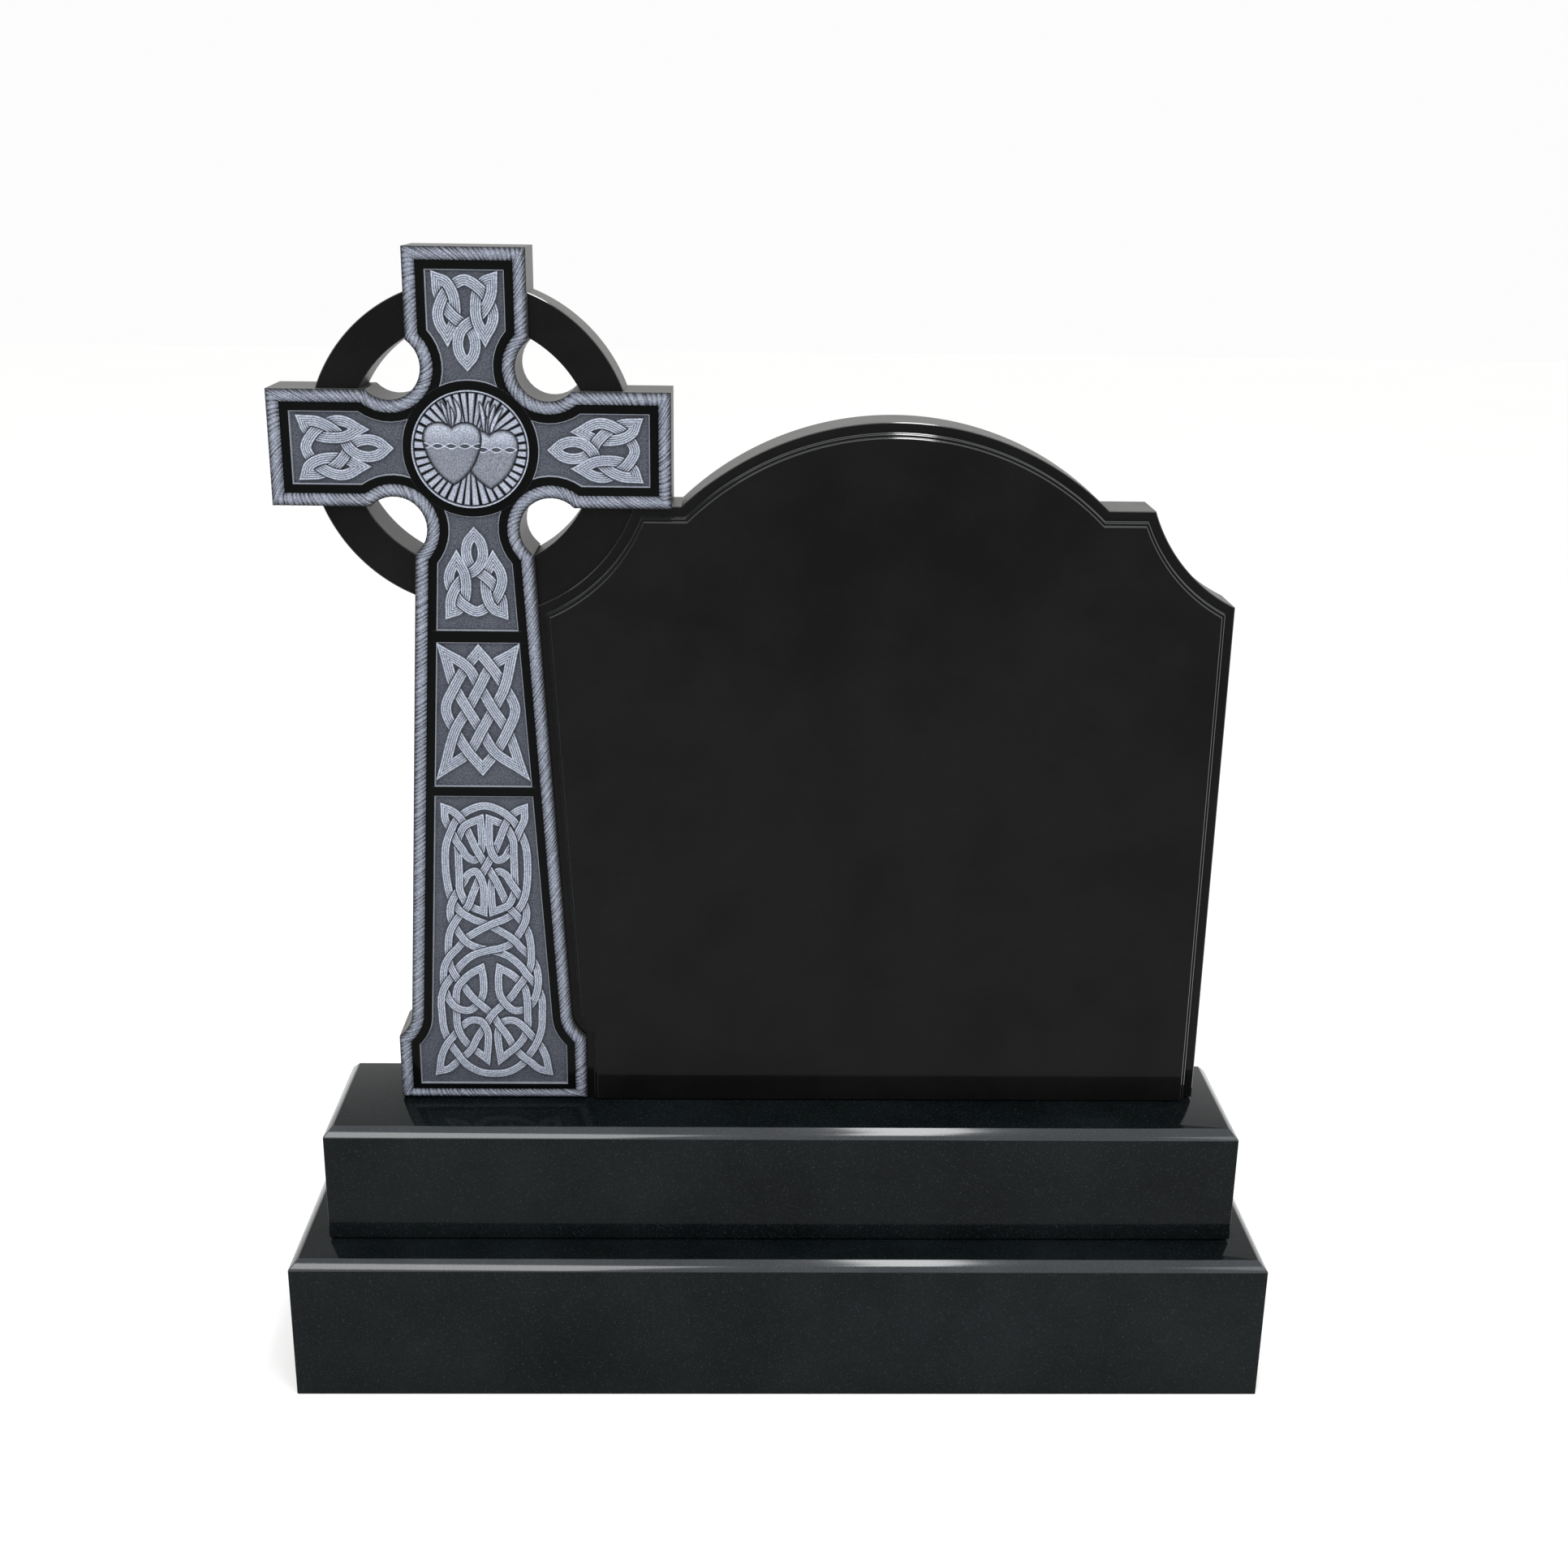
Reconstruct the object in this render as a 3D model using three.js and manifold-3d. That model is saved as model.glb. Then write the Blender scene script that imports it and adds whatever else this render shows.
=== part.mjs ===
// Celtic cross headstone: one carved slab on two chamfered bases, with thin dark beds between the stones.
// Millimetres. X runs to the right, Y away from the viewer, Z up. The origin is the middle of the underside.
import * as THREE from "three";
import { mergeVertices } from "three/addons/utils/BufferGeometryUtils.js";
import Module from "manifold-3d";

const wasm = await Module();
wasm.setup();

// Bases and beds
const LOWER_WIDTH = 1220;
const LOWER_DEPTH = 305;
const LOWER_HEIGHT = 190;
const UPPER_WIDTH = 1142;
const UPPER_DEPTH = 195;
const UPPER_HEIGHT = 152;
const UPPER_SHIFT = 2;
const BASE_CHAMFER = 11;
const BED_THICKNESS = 2.5;
const BED_INSET = 12;

// Headstone slab
const SLAB_THICKNESS = 80;
const SLAB_FRONT = -15.5;
const RING_SETBACK = 15;
const BAND_SETBACK = 10;
const BEAD_SETBACK = 3.5;
const HEADSTONE_BOTTOM = LOWER_HEIGHT + UPPER_HEIGHT + 2 * BED_THICKNESS;

// Cross, measured from the middle of the medallion
const CROSS_X = -366;
const PLINTH_DROP = 825;
const CROSS_Z = HEADSTONE_BOTTOM + PLINTH_DROP;
const TOP_REACH = 224;
const ARM_REACH = 230;
const TOP_HALF_WIDTH = 69;
const ARM_HALF_HEIGHT = 66.5;
const NOTCH_OFFSET_X = 90.5;
const NOTCH_OFFSET_Z = 92;
const NOTCH_RADIUS = 37;
const SHAFT_TOP_HALF = 68.5;
const SHAFT_TOP_DROP = 122;
const SHAFT_FOOT_HALF = 100.5;
const PLINTH_HALF = 118;
const PLINTH_HEIGHT = 84;
const FLARE_HEIGHT = 32;
const FLARE_BULGE = 18;
const FLARE_END_DROP = PLINTH_DROP - PLINTH_HEIGHT;
const FLARE_START_DROP = FLARE_END_DROP - FLARE_HEIGHT;

// Ring behind the arms
const RING_OUTER = 188;
const RING_INNER = 142.5;

// Web that joins the ring to the tablet
const WEB_LAP = 0.5;
const WEB_START = -0.43 * Math.PI;
const WEB_END = -0.09 * Math.PI;
const WEB_STEPS = 12;

// Carving on the cross face
const ROPE_WIDTH = 14.5;
const ROPE_BEVEL = 3;
const ROPE_CUT_STEP = 66;
const ROPE_CUT_DEPTH = 2.2;
const ROPE_CUT_SLANT = 0.75;
const CHANNEL_WIDTH = 10.5;
const CHANNEL_DEPTH = 5;
const GROUND_DEPTH = 9;
const FOOT_INSET_RATIO = 0.72;
const MEDALLION_RADIUS = 67;
const MEDALLION_CHANNEL_RADIUS = 78;
const PANEL_BARS = [[-213, -228], [-407, -420]];
const STRAND_TOP = 4.5;
const ARM_STRAND_WIDTH = 12.2;
const PLAIT_STRAND_WIDTH = 12.4;
const RING_STRAND_WIDTH = 9.4;
const STRAND_GAP = 0.7;
const ARM_STEP = 12;
const PLAIT_STEP = 18;
const RING_STEP = 18;

// Medallion
const MEDALLION_RIM_SETBACK = 1.5;
const MEDALLION_FLOOR = 4.5;
const RIM_WIDTH = 2.6;
const RAY_COUNT = 20;
const RAY_SETBACK = 2.6;
const RAY_FILL = 0.62;
const RAY_INNER = 50;
const LONG_RAY_INNER = 28;
const RAY_OUTER = 63;
const HEARTS = [
  { middle: 21.5, dip: 16, tip: -43, halfWidth: 32.5, lobeTop: 23, setback: 1.2, bevel: 1.6, flame: 38 },
  { middle: -18.5, dip: 21, tip: -40, halfWidth: 34, lobeTop: 28, setback: 0.2, bevel: 1.8, flame: 33 },
];
const FLAME_SETBACK = 1.4;
const FLAME_LEANS = [-6, 0, 6];
const FLAME_ROOT = 5;
const FLAME_HALF_WIDTH = 2.6;

// Arched tablet, symmetric about its own middle
const TABLET_X = 125;
const TABLET_HALF_WIDTH = 407.5;
const ARCH_HALF_WIDTH = 250;
const ARCH_RISE = 100;
const SHOULDER_HEIGHT = CROSS_Z - 64.5;
const SCOTIA_RADIUS = 197;
const BAND_WIDTH = 12.5;
const BEAD_WIDTH = 4;
const SHAFT_BAND_WIDTH = 13.5;

const ARC_STEPS = 7;
const ARCH_STEPS = 10;
const SCOTIA_STEPS = 8;
const HALF_TURN = Math.PI;

// Solids from three.js shapes
function solidOf(geometry) {
  const bare = geometry.clone();
  bare.deleteAttribute("normal");
  bare.deleteAttribute("uv");
  const merged = mergeVertices(bare, 1e-4);
  return new wasm.Manifold(new wasm.Mesh({
    numProp: 3,
    vertProperties: new Float32Array(merged.attributes.position.array),
    triVerts: new Uint32Array(merged.index.array),
  }));
}

function geometryOf(solid) {
  const mesh = solid.getMesh();
  const geometry = new THREE.BufferGeometry();
  geometry.setAttribute("position", new THREE.BufferAttribute(new Float32Array(mesh.vertProperties), 3));
  geometry.setIndex(new THREE.BufferAttribute(new Uint32Array(mesh.triVerts), 1));
  const flat = geometry.toNonIndexed();
  flat.computeVertexNormals();
  return flat;
}

function unionOf(solids) {
  let level = solids;
  while (level.length > 1) {
    const next = [];
    for (let i = 0; i < level.length; i += 2) {
      next.push(i + 1 < level.length ? level[i].add(level[i + 1]) : level[i]);
    }
    level = next;
  }
  return level[0];
}

// A prism of an outline drawn in X and Z, from a front depth to a back depth behind the slab's front
function prism(points, front, back) {
  const shape = new THREE.Shape(points.map(([x, z]) => new THREE.Vector2(x, z)));
  const geometry = new THREE.ExtrudeGeometry(shape, { depth: back - front, bevelEnabled: false });
  geometry.rotateX(HALF_TURN / 2);
  geometry.translate(0, SLAB_FRONT + back, 0);
  return solidOf(geometry);
}

// The same with its edge bevelled inwards at the front or at the back
function bevelledPrism(points, front, back, bevel, atFront) {
  const shape = new THREE.Shape(points.map(([x, z]) => new THREE.Vector2(x, z)));
  const geometry = new THREE.ExtrudeGeometry(shape, {
    depth: back - front - bevel,
    bevelEnabled: true,
    bevelThickness: bevel,
    bevelSize: bevel,
    bevelOffset: -bevel,
    bevelSegments: 1,
  });
  geometry.rotateX(HALF_TURN / 2);
  geometry.translate(0, SLAB_FRONT + (atFront ? back : back - bevel), 0);
  const position = geometry.attributes.position;
  for (let i = 0; i < position.count; i += 1) {
    const y = position.getY(i);
    position.setY(i, atFront ? Math.min(y, SLAB_FRONT + back) : Math.max(y, SLAB_FRONT + front));
  }
  return solidOf(geometry);
}

function arc(cx, cz, radius, from, to, steps = ARC_STEPS) {
  const points = [];
  for (let i = 0; i <= steps; i += 1) {
    const angle = from + (to - from) * i / steps;
    points.push([cx + radius * Math.cos(angle), cz + radius * Math.sin(angle)]);
  }
  return points;
}

function disc(cx, cz, radius, steps = 48) {
  return arc(cx, cz, radius, 0, 2 * HALF_TURN, steps).slice(0, -1);
}

const mirrored = (points, axis) => points.map(([x, z]) => [2 * axis - x, z]).reverse();

// Right half of the cross outline, moved inwards by an inset, from the top to the foot
function shaftHalfWidth(drop) {
  const along = (drop - SHAFT_TOP_DROP) / (FLARE_START_DROP - SHAFT_TOP_DROP);
  return SHAFT_TOP_HALF + (SHAFT_FOOT_HALF - SHAFT_TOP_HALF) * along;
}

function crossHalf(inset) {
  const top = TOP_REACH - inset;
  const half = TOP_HALF_WIDTH - inset;
  const armHalf = ARM_HALF_HEIGHT - inset;
  const reach = ARM_REACH - inset;
  const radius = NOTCH_RADIUS + inset;
  const beside = Math.sqrt(radius ** 2 - (NOTCH_OFFSET_X - half) ** 2);
  const below = Math.sqrt(radius ** 2 - (NOTCH_OFFSET_Z - armHalf) ** 2);
  const start = Math.atan2(beside, half - NOTCH_OFFSET_X);
  const end = 2 * HALF_TURN + Math.atan2(armHalf - NOTCH_OFFSET_Z, below);
  const upperNotch = arc(NOTCH_OFFSET_X, NOTCH_OFFSET_Z, radius, start, end);
  const lowerNotch = upperNotch.map(([x, z]) => [x, -z]).reverse();
  const shaftStart = [shaftHalfWidth(SHAFT_TOP_DROP) - inset, lowerNotch[lowerNotch.length - 1][1]];
  lowerNotch[lowerNotch.length - 1] = shaftStart;
  const flare = new THREE.QuadraticBezierCurve(
    new THREE.Vector2(SHAFT_FOOT_HALF - inset, -FLARE_START_DROP - inset / 4),
    new THREE.Vector2(SHAFT_FOOT_HALF - inset + 1, -FLARE_START_DROP - FLARE_BULGE - inset / 3),
    new THREE.Vector2(PLINTH_HALF - inset, -FLARE_END_DROP - inset / 2),
  ).getPoints(4).map((p) => [p.x, p.y]);
  const foot = -PLINTH_DROP + inset * FOOT_INSET_RATIO;
  return [[half, top], ...upperNotch, [reach, armHalf], [reach, -armHalf], ...lowerNotch, ...flare,
    [PLINTH_HALF - inset, foot]];
}

function crossOutline(inset) {
  const half = crossHalf(inset);
  const points = [...half, ...mirrored(half, 0)];
  return points.map(([x, z]) => [x + CROSS_X, z + CROSS_Z]).reverse();
}

const onCross = (points) => points.map(([x, z]) => [x + CROSS_X, z + CROSS_Z]);
const box = (x0, z0, x1, z1) => [[x0, z0], [x1, z0], [x1, z1], [x0, z1]];

// Arched tablet outline, moved inwards by an inset. Its hollow shoulders are arcs, and the left one runs on
// round the ring until it is inside the shaft.
function tabletHalf(inset, side) {
  const radius = (ARCH_HALF_WIDTH ** 2 + ARCH_RISE ** 2) / (2 * ARCH_RISE);
  const middle = SHOULDER_HEIGHT + ARCH_RISE - radius;
  const shoulder = SHOULDER_HEIGHT - inset;
  const archRadius = radius - inset;
  const archEnd = Math.asin((shoulder - middle) / archRadius);
  const arch = arc(TABLET_X, middle, archRadius, HALF_TURN / 2, archEnd, ARCH_STEPS);
  const scotiaX = TABLET_X - CROSS_X + TABLET_X;
  const scotiaRadius = SCOTIA_RADIUS + inset;
  const scotiaStart = HALF_TURN + Math.asin((CROSS_Z - shoulder) / scotiaRadius);
  const scotiaEnd = HALF_TURN + Math.acos((scotiaX - side) / scotiaRadius);
  const scotia = arc(scotiaX, CROSS_Z, scotiaRadius, scotiaStart, scotiaEnd, SCOTIA_STEPS);
  return [...arch, ...scotia, [side, HEADSTONE_BOTTOM]];
}

function tabletOutline(inset) {
  const right = tabletHalf(inset, TABLET_X + TABLET_HALF_WIDTH - inset);
  const left = tabletHalf(inset, 2 * TABLET_X - CROSS_X - SHAFT_TOP_HALF / 2);
  return [...mirrored(left.slice(1), TABLET_X), ...right].reverse();
}

// Strip of constant width beside the shaft, where the tablet's face stays clear of the cross
function shaftBand() {
  const foot = crossHalf(-SHAFT_BAND_WIDTH);
  const lower = foot.filter(([, z]) => z < -SHAFT_TOP_DROP);
  const edge = lower.map(([x, z]) => [x, Math.max(z, -PLINTH_DROP - 1)]);
  const last = edge[edge.length - 1];
  return onCross([[0, edge[0][1]], [0, -PLINTH_DROP - 1], [last[0], -PLINTH_DROP - 1], ...edge.reverse()]);
}

// Knots: control points as [x, z, corner] along closed strands
function sampleStrand(points, step) {
  const count = points.length;
  const corners = points.map((p, i) => (p[2] ? i : -1)).filter((i) => i >= 0);
  const runs = [];
  if (corners.length === 0) {
    const ring = points.map(([x, z]) => new THREE.Vector3(x, z, 0));
    const curve = new THREE.CatmullRomCurve3(ring, true, "centripetal");
    const parts = Math.max(8, Math.round(curve.getLength() / step));
    const samples = curve.getSpacedPoints(parts).slice(0, -1);
    return samples.map((p) => [p.x, p.y, 0]);
  }
  corners.forEach((from, k) => {
    const to = corners[(k + 1) % corners.length];
    const span = (to - from + count) % count || count;
    const stretch = [];
    for (let i = 0; i <= span; i += 1) {
      const [x, z] = points[(from + i) % count];
      stretch.push(new THREE.Vector3(x, z, 0));
    }
    const curve = new THREE.CatmullRomCurve3(stretch, false, "centripetal");
    const parts = Math.max(2, Math.round(curve.getLength() / step));
    curve.getSpacedPoints(parts).slice(0, -1).forEach((p, i) => runs.push([p.x, p.y, i === 0 ? 1 : 0]));
  });
  return runs;
}

function crossings(strands) {
  const found = [];
  const segments = [];
  strands.forEach((samples, strand) => samples.forEach((p, i) => {
    segments.push({ strand, i, p, q: samples[(i + 1) % samples.length] });
  }));
  segments.forEach((a, m) => segments.slice(m + 1).forEach((b) => {
    if (a.strand === b.strand) {
      const apart = Math.abs(a.i - b.i);
      if (apart < 2 || apart > strands[a.strand].length - 2) return;
    }
    const r = [a.q[0] - a.p[0], a.q[1] - a.p[1]];
    const s = [b.q[0] - b.p[0], b.q[1] - b.p[1]];
    const turn = r[0] * s[1] - r[1] * s[0];
    if (Math.abs(turn) < 1e-9) return;
    const t = ((b.p[0] - a.p[0]) * s[1] - (b.p[1] - a.p[1]) * s[0]) / turn;
    const w = ((b.p[0] - a.p[0]) * r[1] - (b.p[1] - a.p[1]) * r[0]) / turn;
    if (t < 0 || t >= 1 || w < 0 || w >= 1) return;
    found.push({ first: [a.strand, a.i + t], second: [b.strand, b.i + w] });
  }));
  return found;
}

// Over and under alternate along every strand
function weave(strands) {
  const passes = strands.map(() => []);
  crossings(strands).forEach((crossing, id) => {
    [crossing.first, crossing.second].forEach(([strand, at], side) => passes[strand].push({ id, side, at }));
  });
  passes.forEach((list) => list.sort((a, b) => a.at - b.at));
  const firstIsOver = new Map();
  const settled = new Set();
  while (settled.size < strands.length) {
    const open = passes.map((list, strand) => strand).filter((strand) => !settled.has(strand));
    const known = open.find((strand) => passes[strand].some((pass) => firstIsOver.has(pass.id)));
    const strand = known === undefined ? open[0] : known;
    const list = passes[strand];
    const anchor = Math.max(0, list.findIndex((pass) => firstIsOver.has(pass.id)));
    const pass = list[anchor];
    const isKnown = pass && firstIsOver.has(pass.id);
    const anchorOver = isKnown ? firstIsOver.get(pass.id) === (pass.side === 0) : true;
    list.forEach((entry, k) => {
      const over = ((k - anchor) % 2 === 0) === anchorOver;
      entry.over = over;
      if (!firstIsOver.has(entry.id)) firstIsOver.set(entry.id, over === (entry.side === 0));
    });
    settled.add(strand);
  }
  return passes;
}

function pointAt(samples, at) {
  const count = samples.length;
  const whole = Math.floor(at);
  const p = samples[((whole % count) + count) % count];
  const q = samples[(((whole + 1) % count) + count) % count];
  const t = at - whole;
  return [p[0] + (q[0] - p[0]) * t, p[1] + (q[1] - p[1]) * t];
}

// A bar bent along a strand between two places on it
function strip(samples, from, to, width, front, back) {
  const line = [pointAt(samples, from)];
  for (let i = Math.floor(from) + 1; i < to; i += 1) {
    if (i - from > 0.08 && to - i > 0.08) line.push(pointAt(samples, i));
  }
  line.push(pointAt(samples, to));
  const last = line.length - 1;
  const sides = line.map((p, i) => {
    const before = line[Math.max(0, i - 1)];
    const after = line[Math.min(last, i + 1)];
    const a = new THREE.Vector2(p[0] - before[0], p[1] - before[1]).normalize();
    const b = new THREE.Vector2(after[0] - p[0], after[1] - p[1]).normalize();
    if (i === 0) a.copy(b);
    if (i === last) b.copy(a);
    const normal = new THREE.Vector2(-(a.y + b.y), a.x + b.x).normalize();
    return normal.multiplyScalar(width / 2 / Math.max(0.42, -normal.x * a.y + normal.y * a.x));
  });
  const bar = new THREE.BoxGeometry(2, 2, 1, 1, 1, last);
  const position = bar.attributes.position;
  for (let k = 0; k < position.count; k += 1) {
    const i = Math.round((position.getZ(k) + 0.5) * last);
    const side = -position.getX(k);
    const depth = position.getY(k) > 0 ? back : front;
    position.setXYZ(k, line[i][0] + side * sides[i].x, SLAB_FRONT + depth, line[i][1] + side * sides[i].y);
  }
  return solidOf(bar);
}

function reachAlong(samples, at, distance, sign) {
  let place = at;
  let left = distance;
  while (left > 0) {
    const next = sign > 0 ? Math.floor(place + 1e-9) + 1 : Math.ceil(place - 1e-9) - 1;
    const p = pointAt(samples, place);
    const q = pointAt(samples, next);
    const length = Math.hypot(q[0] - p[0], q[1] - p[1]);
    if (length >= left) return place + (next - place) * left / length;
    left -= length;
    place = next;
  }
  return place;
}

function knotSolids(curves, width, step) {
  const strands = curves.map((curve) => sampleStrand(curve, step));
  const passes = weave(strands);
  const overs = new Map();
  passes.forEach((list, strand) => list.forEach((pass) => {
    if (pass.over) overs.set(pass.id, { strand, at: pass.at });
  }));
  const cutter = (id) => {
    const { strand, at } = overs.get(id);
    const reach = 1.15 * width;
    const from = reachAlong(strands[strand], at, reach, -1);
    const to = reachAlong(strands[strand], at, reach, 1);
    return strip(strands[strand], from, to, width + 2 * STRAND_GAP, STRAND_TOP - 1, GROUND_DEPTH - 1.2);
  };
  const solids = [];
  passes.forEach((list, strand) => {
    const unders = list.filter((pass) => !pass.over);
    unders.forEach((pass, k) => {
      const next = unders[(k + 1) % unders.length];
      const to = next.at > pass.at ? next.at : next.at + strands[strand].length;
      let band = strip(strands[strand], pass.at, to, width, STRAND_TOP, GROUND_DEPTH + 1);
      band = band.subtract(cutter(pass.id));
      if (next.id !== pass.id) band = band.subtract(cutter(next.id));
      solids.push(band);
    });
  });
  return solids;
}

// The arm knot points its drop loop down to the medallion, in millimetres from the medallion's middle
function armKnot(place) {
  const side = [
    [16.5, 179], [25.5, 167.5], [31, 152], [29.5, 141], [21.3, 126.5, 1], [12.8, 143], [11.6, 162],
    [14.6, 176], [21.5, 186], [30.8, 189.5, 1], [30, 175], [25.5, 163], [19, 153.5], [9.5, 144.5], [0, 138.5],
    [-7.2, 129.5], [-9.8, 117], [-7, 105],
  ];
  const other = side.map(([x, z, corner]) => [-x, z, corner]).reverse();
  const loop = [[0, 188], ...side, [0, 96.5, 1], ...other];
  return [loop.map(([x, z, corner]) => [...place(x, z), corner])];
}

// The plait has three closed strands, on columns at fractions of the panel's half width
function plaitKnot(place) {
  const [edge, mid, inner] = [0.8, 0.57, 0.285];
  const rows = { top: -241, first: -257, second: -282, third: -310, fourth: -337, fifth: -364, foot: -385 };
  const bulge = (rows.second + rows.fourth) / 2;
  const falling = [
    [-edge, rows.top, 1], [-inner, rows.first], [0, rows.second], [inner, rows.third], [mid, rows.fourth],
    [edge, rows.foot, 1], [inner, rows.fifth], [0, rows.fourth], [-inner, rows.third], [-mid, rows.second],
  ];
  const rising = falling.map(([k, z, corner]) => [-k, z, corner]);
  const middle = [
    [0, rows.top + 2, 1], [-inner, rows.first], [-mid, rows.second], [-edge + 0.03, bulge],
    [-mid, rows.fourth], [-inner, rows.fifth], [0, rows.foot + 1, 1], [inner, rows.fifth], [mid, rows.fourth],
    [edge - 0.03, bulge], [mid, rows.second], [inner, rows.first],
  ];
  return [falling, rising, middle].map((curve) => curve.map(([k, z, corner]) => {
    const half = shaftHalfWidth(-z) - ROPE_WIDTH - CHANNEL_WIDTH;
    return [...place(k * half, z), corner];
  }));
}

// The ring knot: two interlaced rounds, one above the other, each holding four loops.
// Its points run along the right half of one closed strand, the rest is the mirror image.
function ringKnot(place) {
  const upperMiddle = -510;
  const lowerMiddle = -711;
  const rim = [[20, 71.5], [35, 58.5], [42, 45], [48.5, 27], [50.5, 0]];
  const rimFoot = [[48.5, 27], [45, 43], [36, 59], [21, 70]];
  const spoke = [[41, 72], [31.5, 64.5], [25, 54], [18.5, 38], [10.5, 19]];
  const loop = [
    [48, 60], [41.5, 46], [36, 33], [29, 21.5], [22.5, 11], [14, 7.5], [8.5, 14], [4.9, 26], [4.7, 45],
    [5.6, 61, 1], [15.7, 57], [24.7, 52], [30.5, 42.5], [34, 32], [34, 16],
  ];
  const lowerLoop = [
    [46, 11], [37.5, 6.5], [27, 6.5], [17, 16], [10.5, 28.5], [9.5, 50], [11.5, 64, 1], [24, 57], [34.5, 47.5],
    [42.5, 36], [44.7, 18], [44.7, 0],
  ];
  const footLoop = [
    [44.5, -14], [39, -31.5], [28.5, -45], [18, -54], [9, -62, 1], [6.5, -40], [6.5, -24], [13.5, -10],
    [27, -8], [39, -16.5], [48.7, -28.5], [59, -42], [66, -58],
  ];
  const footCorner = [69.5, -79, 1];
  const footSpoke = [[58, -76], [46.5, -66], [37, -58], [28, -48], [19.5, -31.5], [9, -15]];
  const upperCorner = [48.5, 75, 1];
  const lowerSpoke = [[12, 12], [24, 24], [33, 37], [42, 50]];
  const risingLink = [[50.5, -642], [51.5, -628], [51, -612], [48, -597], [41, -584], [33, -573]];
  const crossingLink = [[19, -600], [30, -608], [39, -619], [50, -631], [57.5, -646], [59, -670], [53, -691]];
  const archLink = [[43, -555], [47, -568], [46, -582], [39, -597], [27, -613], [13, -620]];
  const archSide = [[21, -629.5], [36, -642], [46, -656], [57, -671], [63, -688], [63, -712], [61.5, -731]];
  const footArc = [[54.7, -751], [46.5, -764.5], [34.5, -781], [16.5, -791.5]];
  const upper = (list, flip = 1) => list.map(([x, z, c]) => [x, upperMiddle + flip * z, c]);
  const lower = (list) => list.map(([x, z, c]) => [x, lowerMiddle + z, c]);
  const across = (list) => list.map(([x, z, c]) => [-x, z, c]);
  const back = (list) => [...list].reverse();
  const half = [
    ...upper(rim), ...upper(rimFoot, -1), [0, -589], ...across(crossingLink),
    ...across(lower([...lowerLoop, ...footLoop, footCorner, ...footSpoke])), [0, lowerMiddle],
    ...lower(lowerSpoke), ...risingLink, ...upper(back(spoke.slice(2)).reverse(), -1), [0, upperMiddle],
    ...across(upper([...back(spoke), upperCorner, ...loop, [34, 0]])),
    ...across(upper(back(loop.slice(2)), -1)), ...across(archLink), [0, -622.5], ...archSide, ...footArc,
  ];
  const strand = [[0, upperMiddle + 78], ...half, [0, -793.5], ...back(across(half))];
  return [strand.map(([x, z, corner]) => [...place(x, z), corner])];
}

// Deep slanting cuts along the rope border
function ropeCuts() {
  const path = crossOutline(ROPE_WIDTH / 2);
  const cuts = [];
  let carried = ROPE_CUT_STEP / 2;
  path.forEach((p, i) => {
    const q = path[(i + 1) % path.length];
    const length = Math.hypot(q[0] - p[0], q[1] - p[1]);
    const heading = Math.atan2(q[1] - p[1], q[0] - p[0]);
    while (carried < length) {
      const blade = new THREE.CylinderGeometry(ROPE_CUT_DEPTH, ROPE_CUT_DEPTH, 1.5 * ROPE_WIDTH, 4);
      blade.rotateZ(HALF_TURN / 2);
      blade.rotateY(-heading + ROPE_CUT_SLANT);
      const along = carried / length;
      blade.translate(p[0] + (q[0] - p[0]) * along, SLAB_FRONT, p[1] + (q[1] - p[1]) * along);
      cuts.push(solidOf(blade));
      carried += ROPE_CUT_STEP;
    }
    carried -= length;
  });
  return unionOf(cuts);
}

// Medallion: rim, rays, two hearts and their flames

function heart({ middle, dip, tip, halfWidth, lobeTop }) {
  const steps = 8;
  const cheek = dip - 0.53 * halfWidth;
  const right = new THREE.CubicBezierCurve(
    new THREE.Vector2(middle, dip), new THREE.Vector2(middle + 0.3 * halfWidth, lobeTop + 5),
    new THREE.Vector2(middle + halfWidth * 1.15, lobeTop + 4), new THREE.Vector2(middle + halfWidth, cheek),
  );
  const lower = new THREE.QuadraticBezierCurve(
    new THREE.Vector2(middle + halfWidth, cheek), new THREE.Vector2(middle + halfWidth * 0.8, tip + 14),
    new THREE.Vector2(middle, tip),
  );
  const points = right.getPoints(steps).map((p) => [p.x, p.y]);
  points.push(...lower.getPoints(steps / 2).slice(1).map((p) => [p.x, p.y]));
  const left = points.slice(1, -1).map(([x, z]) => [2 * middle - x, z]).reverse();
  return onCross([...points, ...left].reverse());
}

function flame({ middle, dip, flame: height }, lean) {
  const tall = height - Math.abs(lean);
  return onCross([
    [middle + 0.4 * lean, dip - FLAME_ROOT], [middle + lean - FLAME_HALF_WIDTH, dip + 0.55 * tall],
    [middle + 1.6 * lean, dip + tall], [middle + lean + FLAME_HALF_WIDTH, dip + 0.6 * tall],
  ].reverse());
}

function ray(angle) {
  const half = HALF_TURN / RAY_COUNT * RAY_FILL;
  const isLong = Math.abs(Math.cos(angle)) < 0.22;
  const inner = isLong ? LONG_RAY_INNER : RAY_INNER;
  const at = (radius, turn) => [radius * Math.cos(turn), radius * Math.sin(turn)];
  return onCross([
    at(inner, angle - half), at(RAY_OUTER, angle - half), at(RAY_OUTER, angle + half), at(inner, angle + half),
  ]);
}

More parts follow.
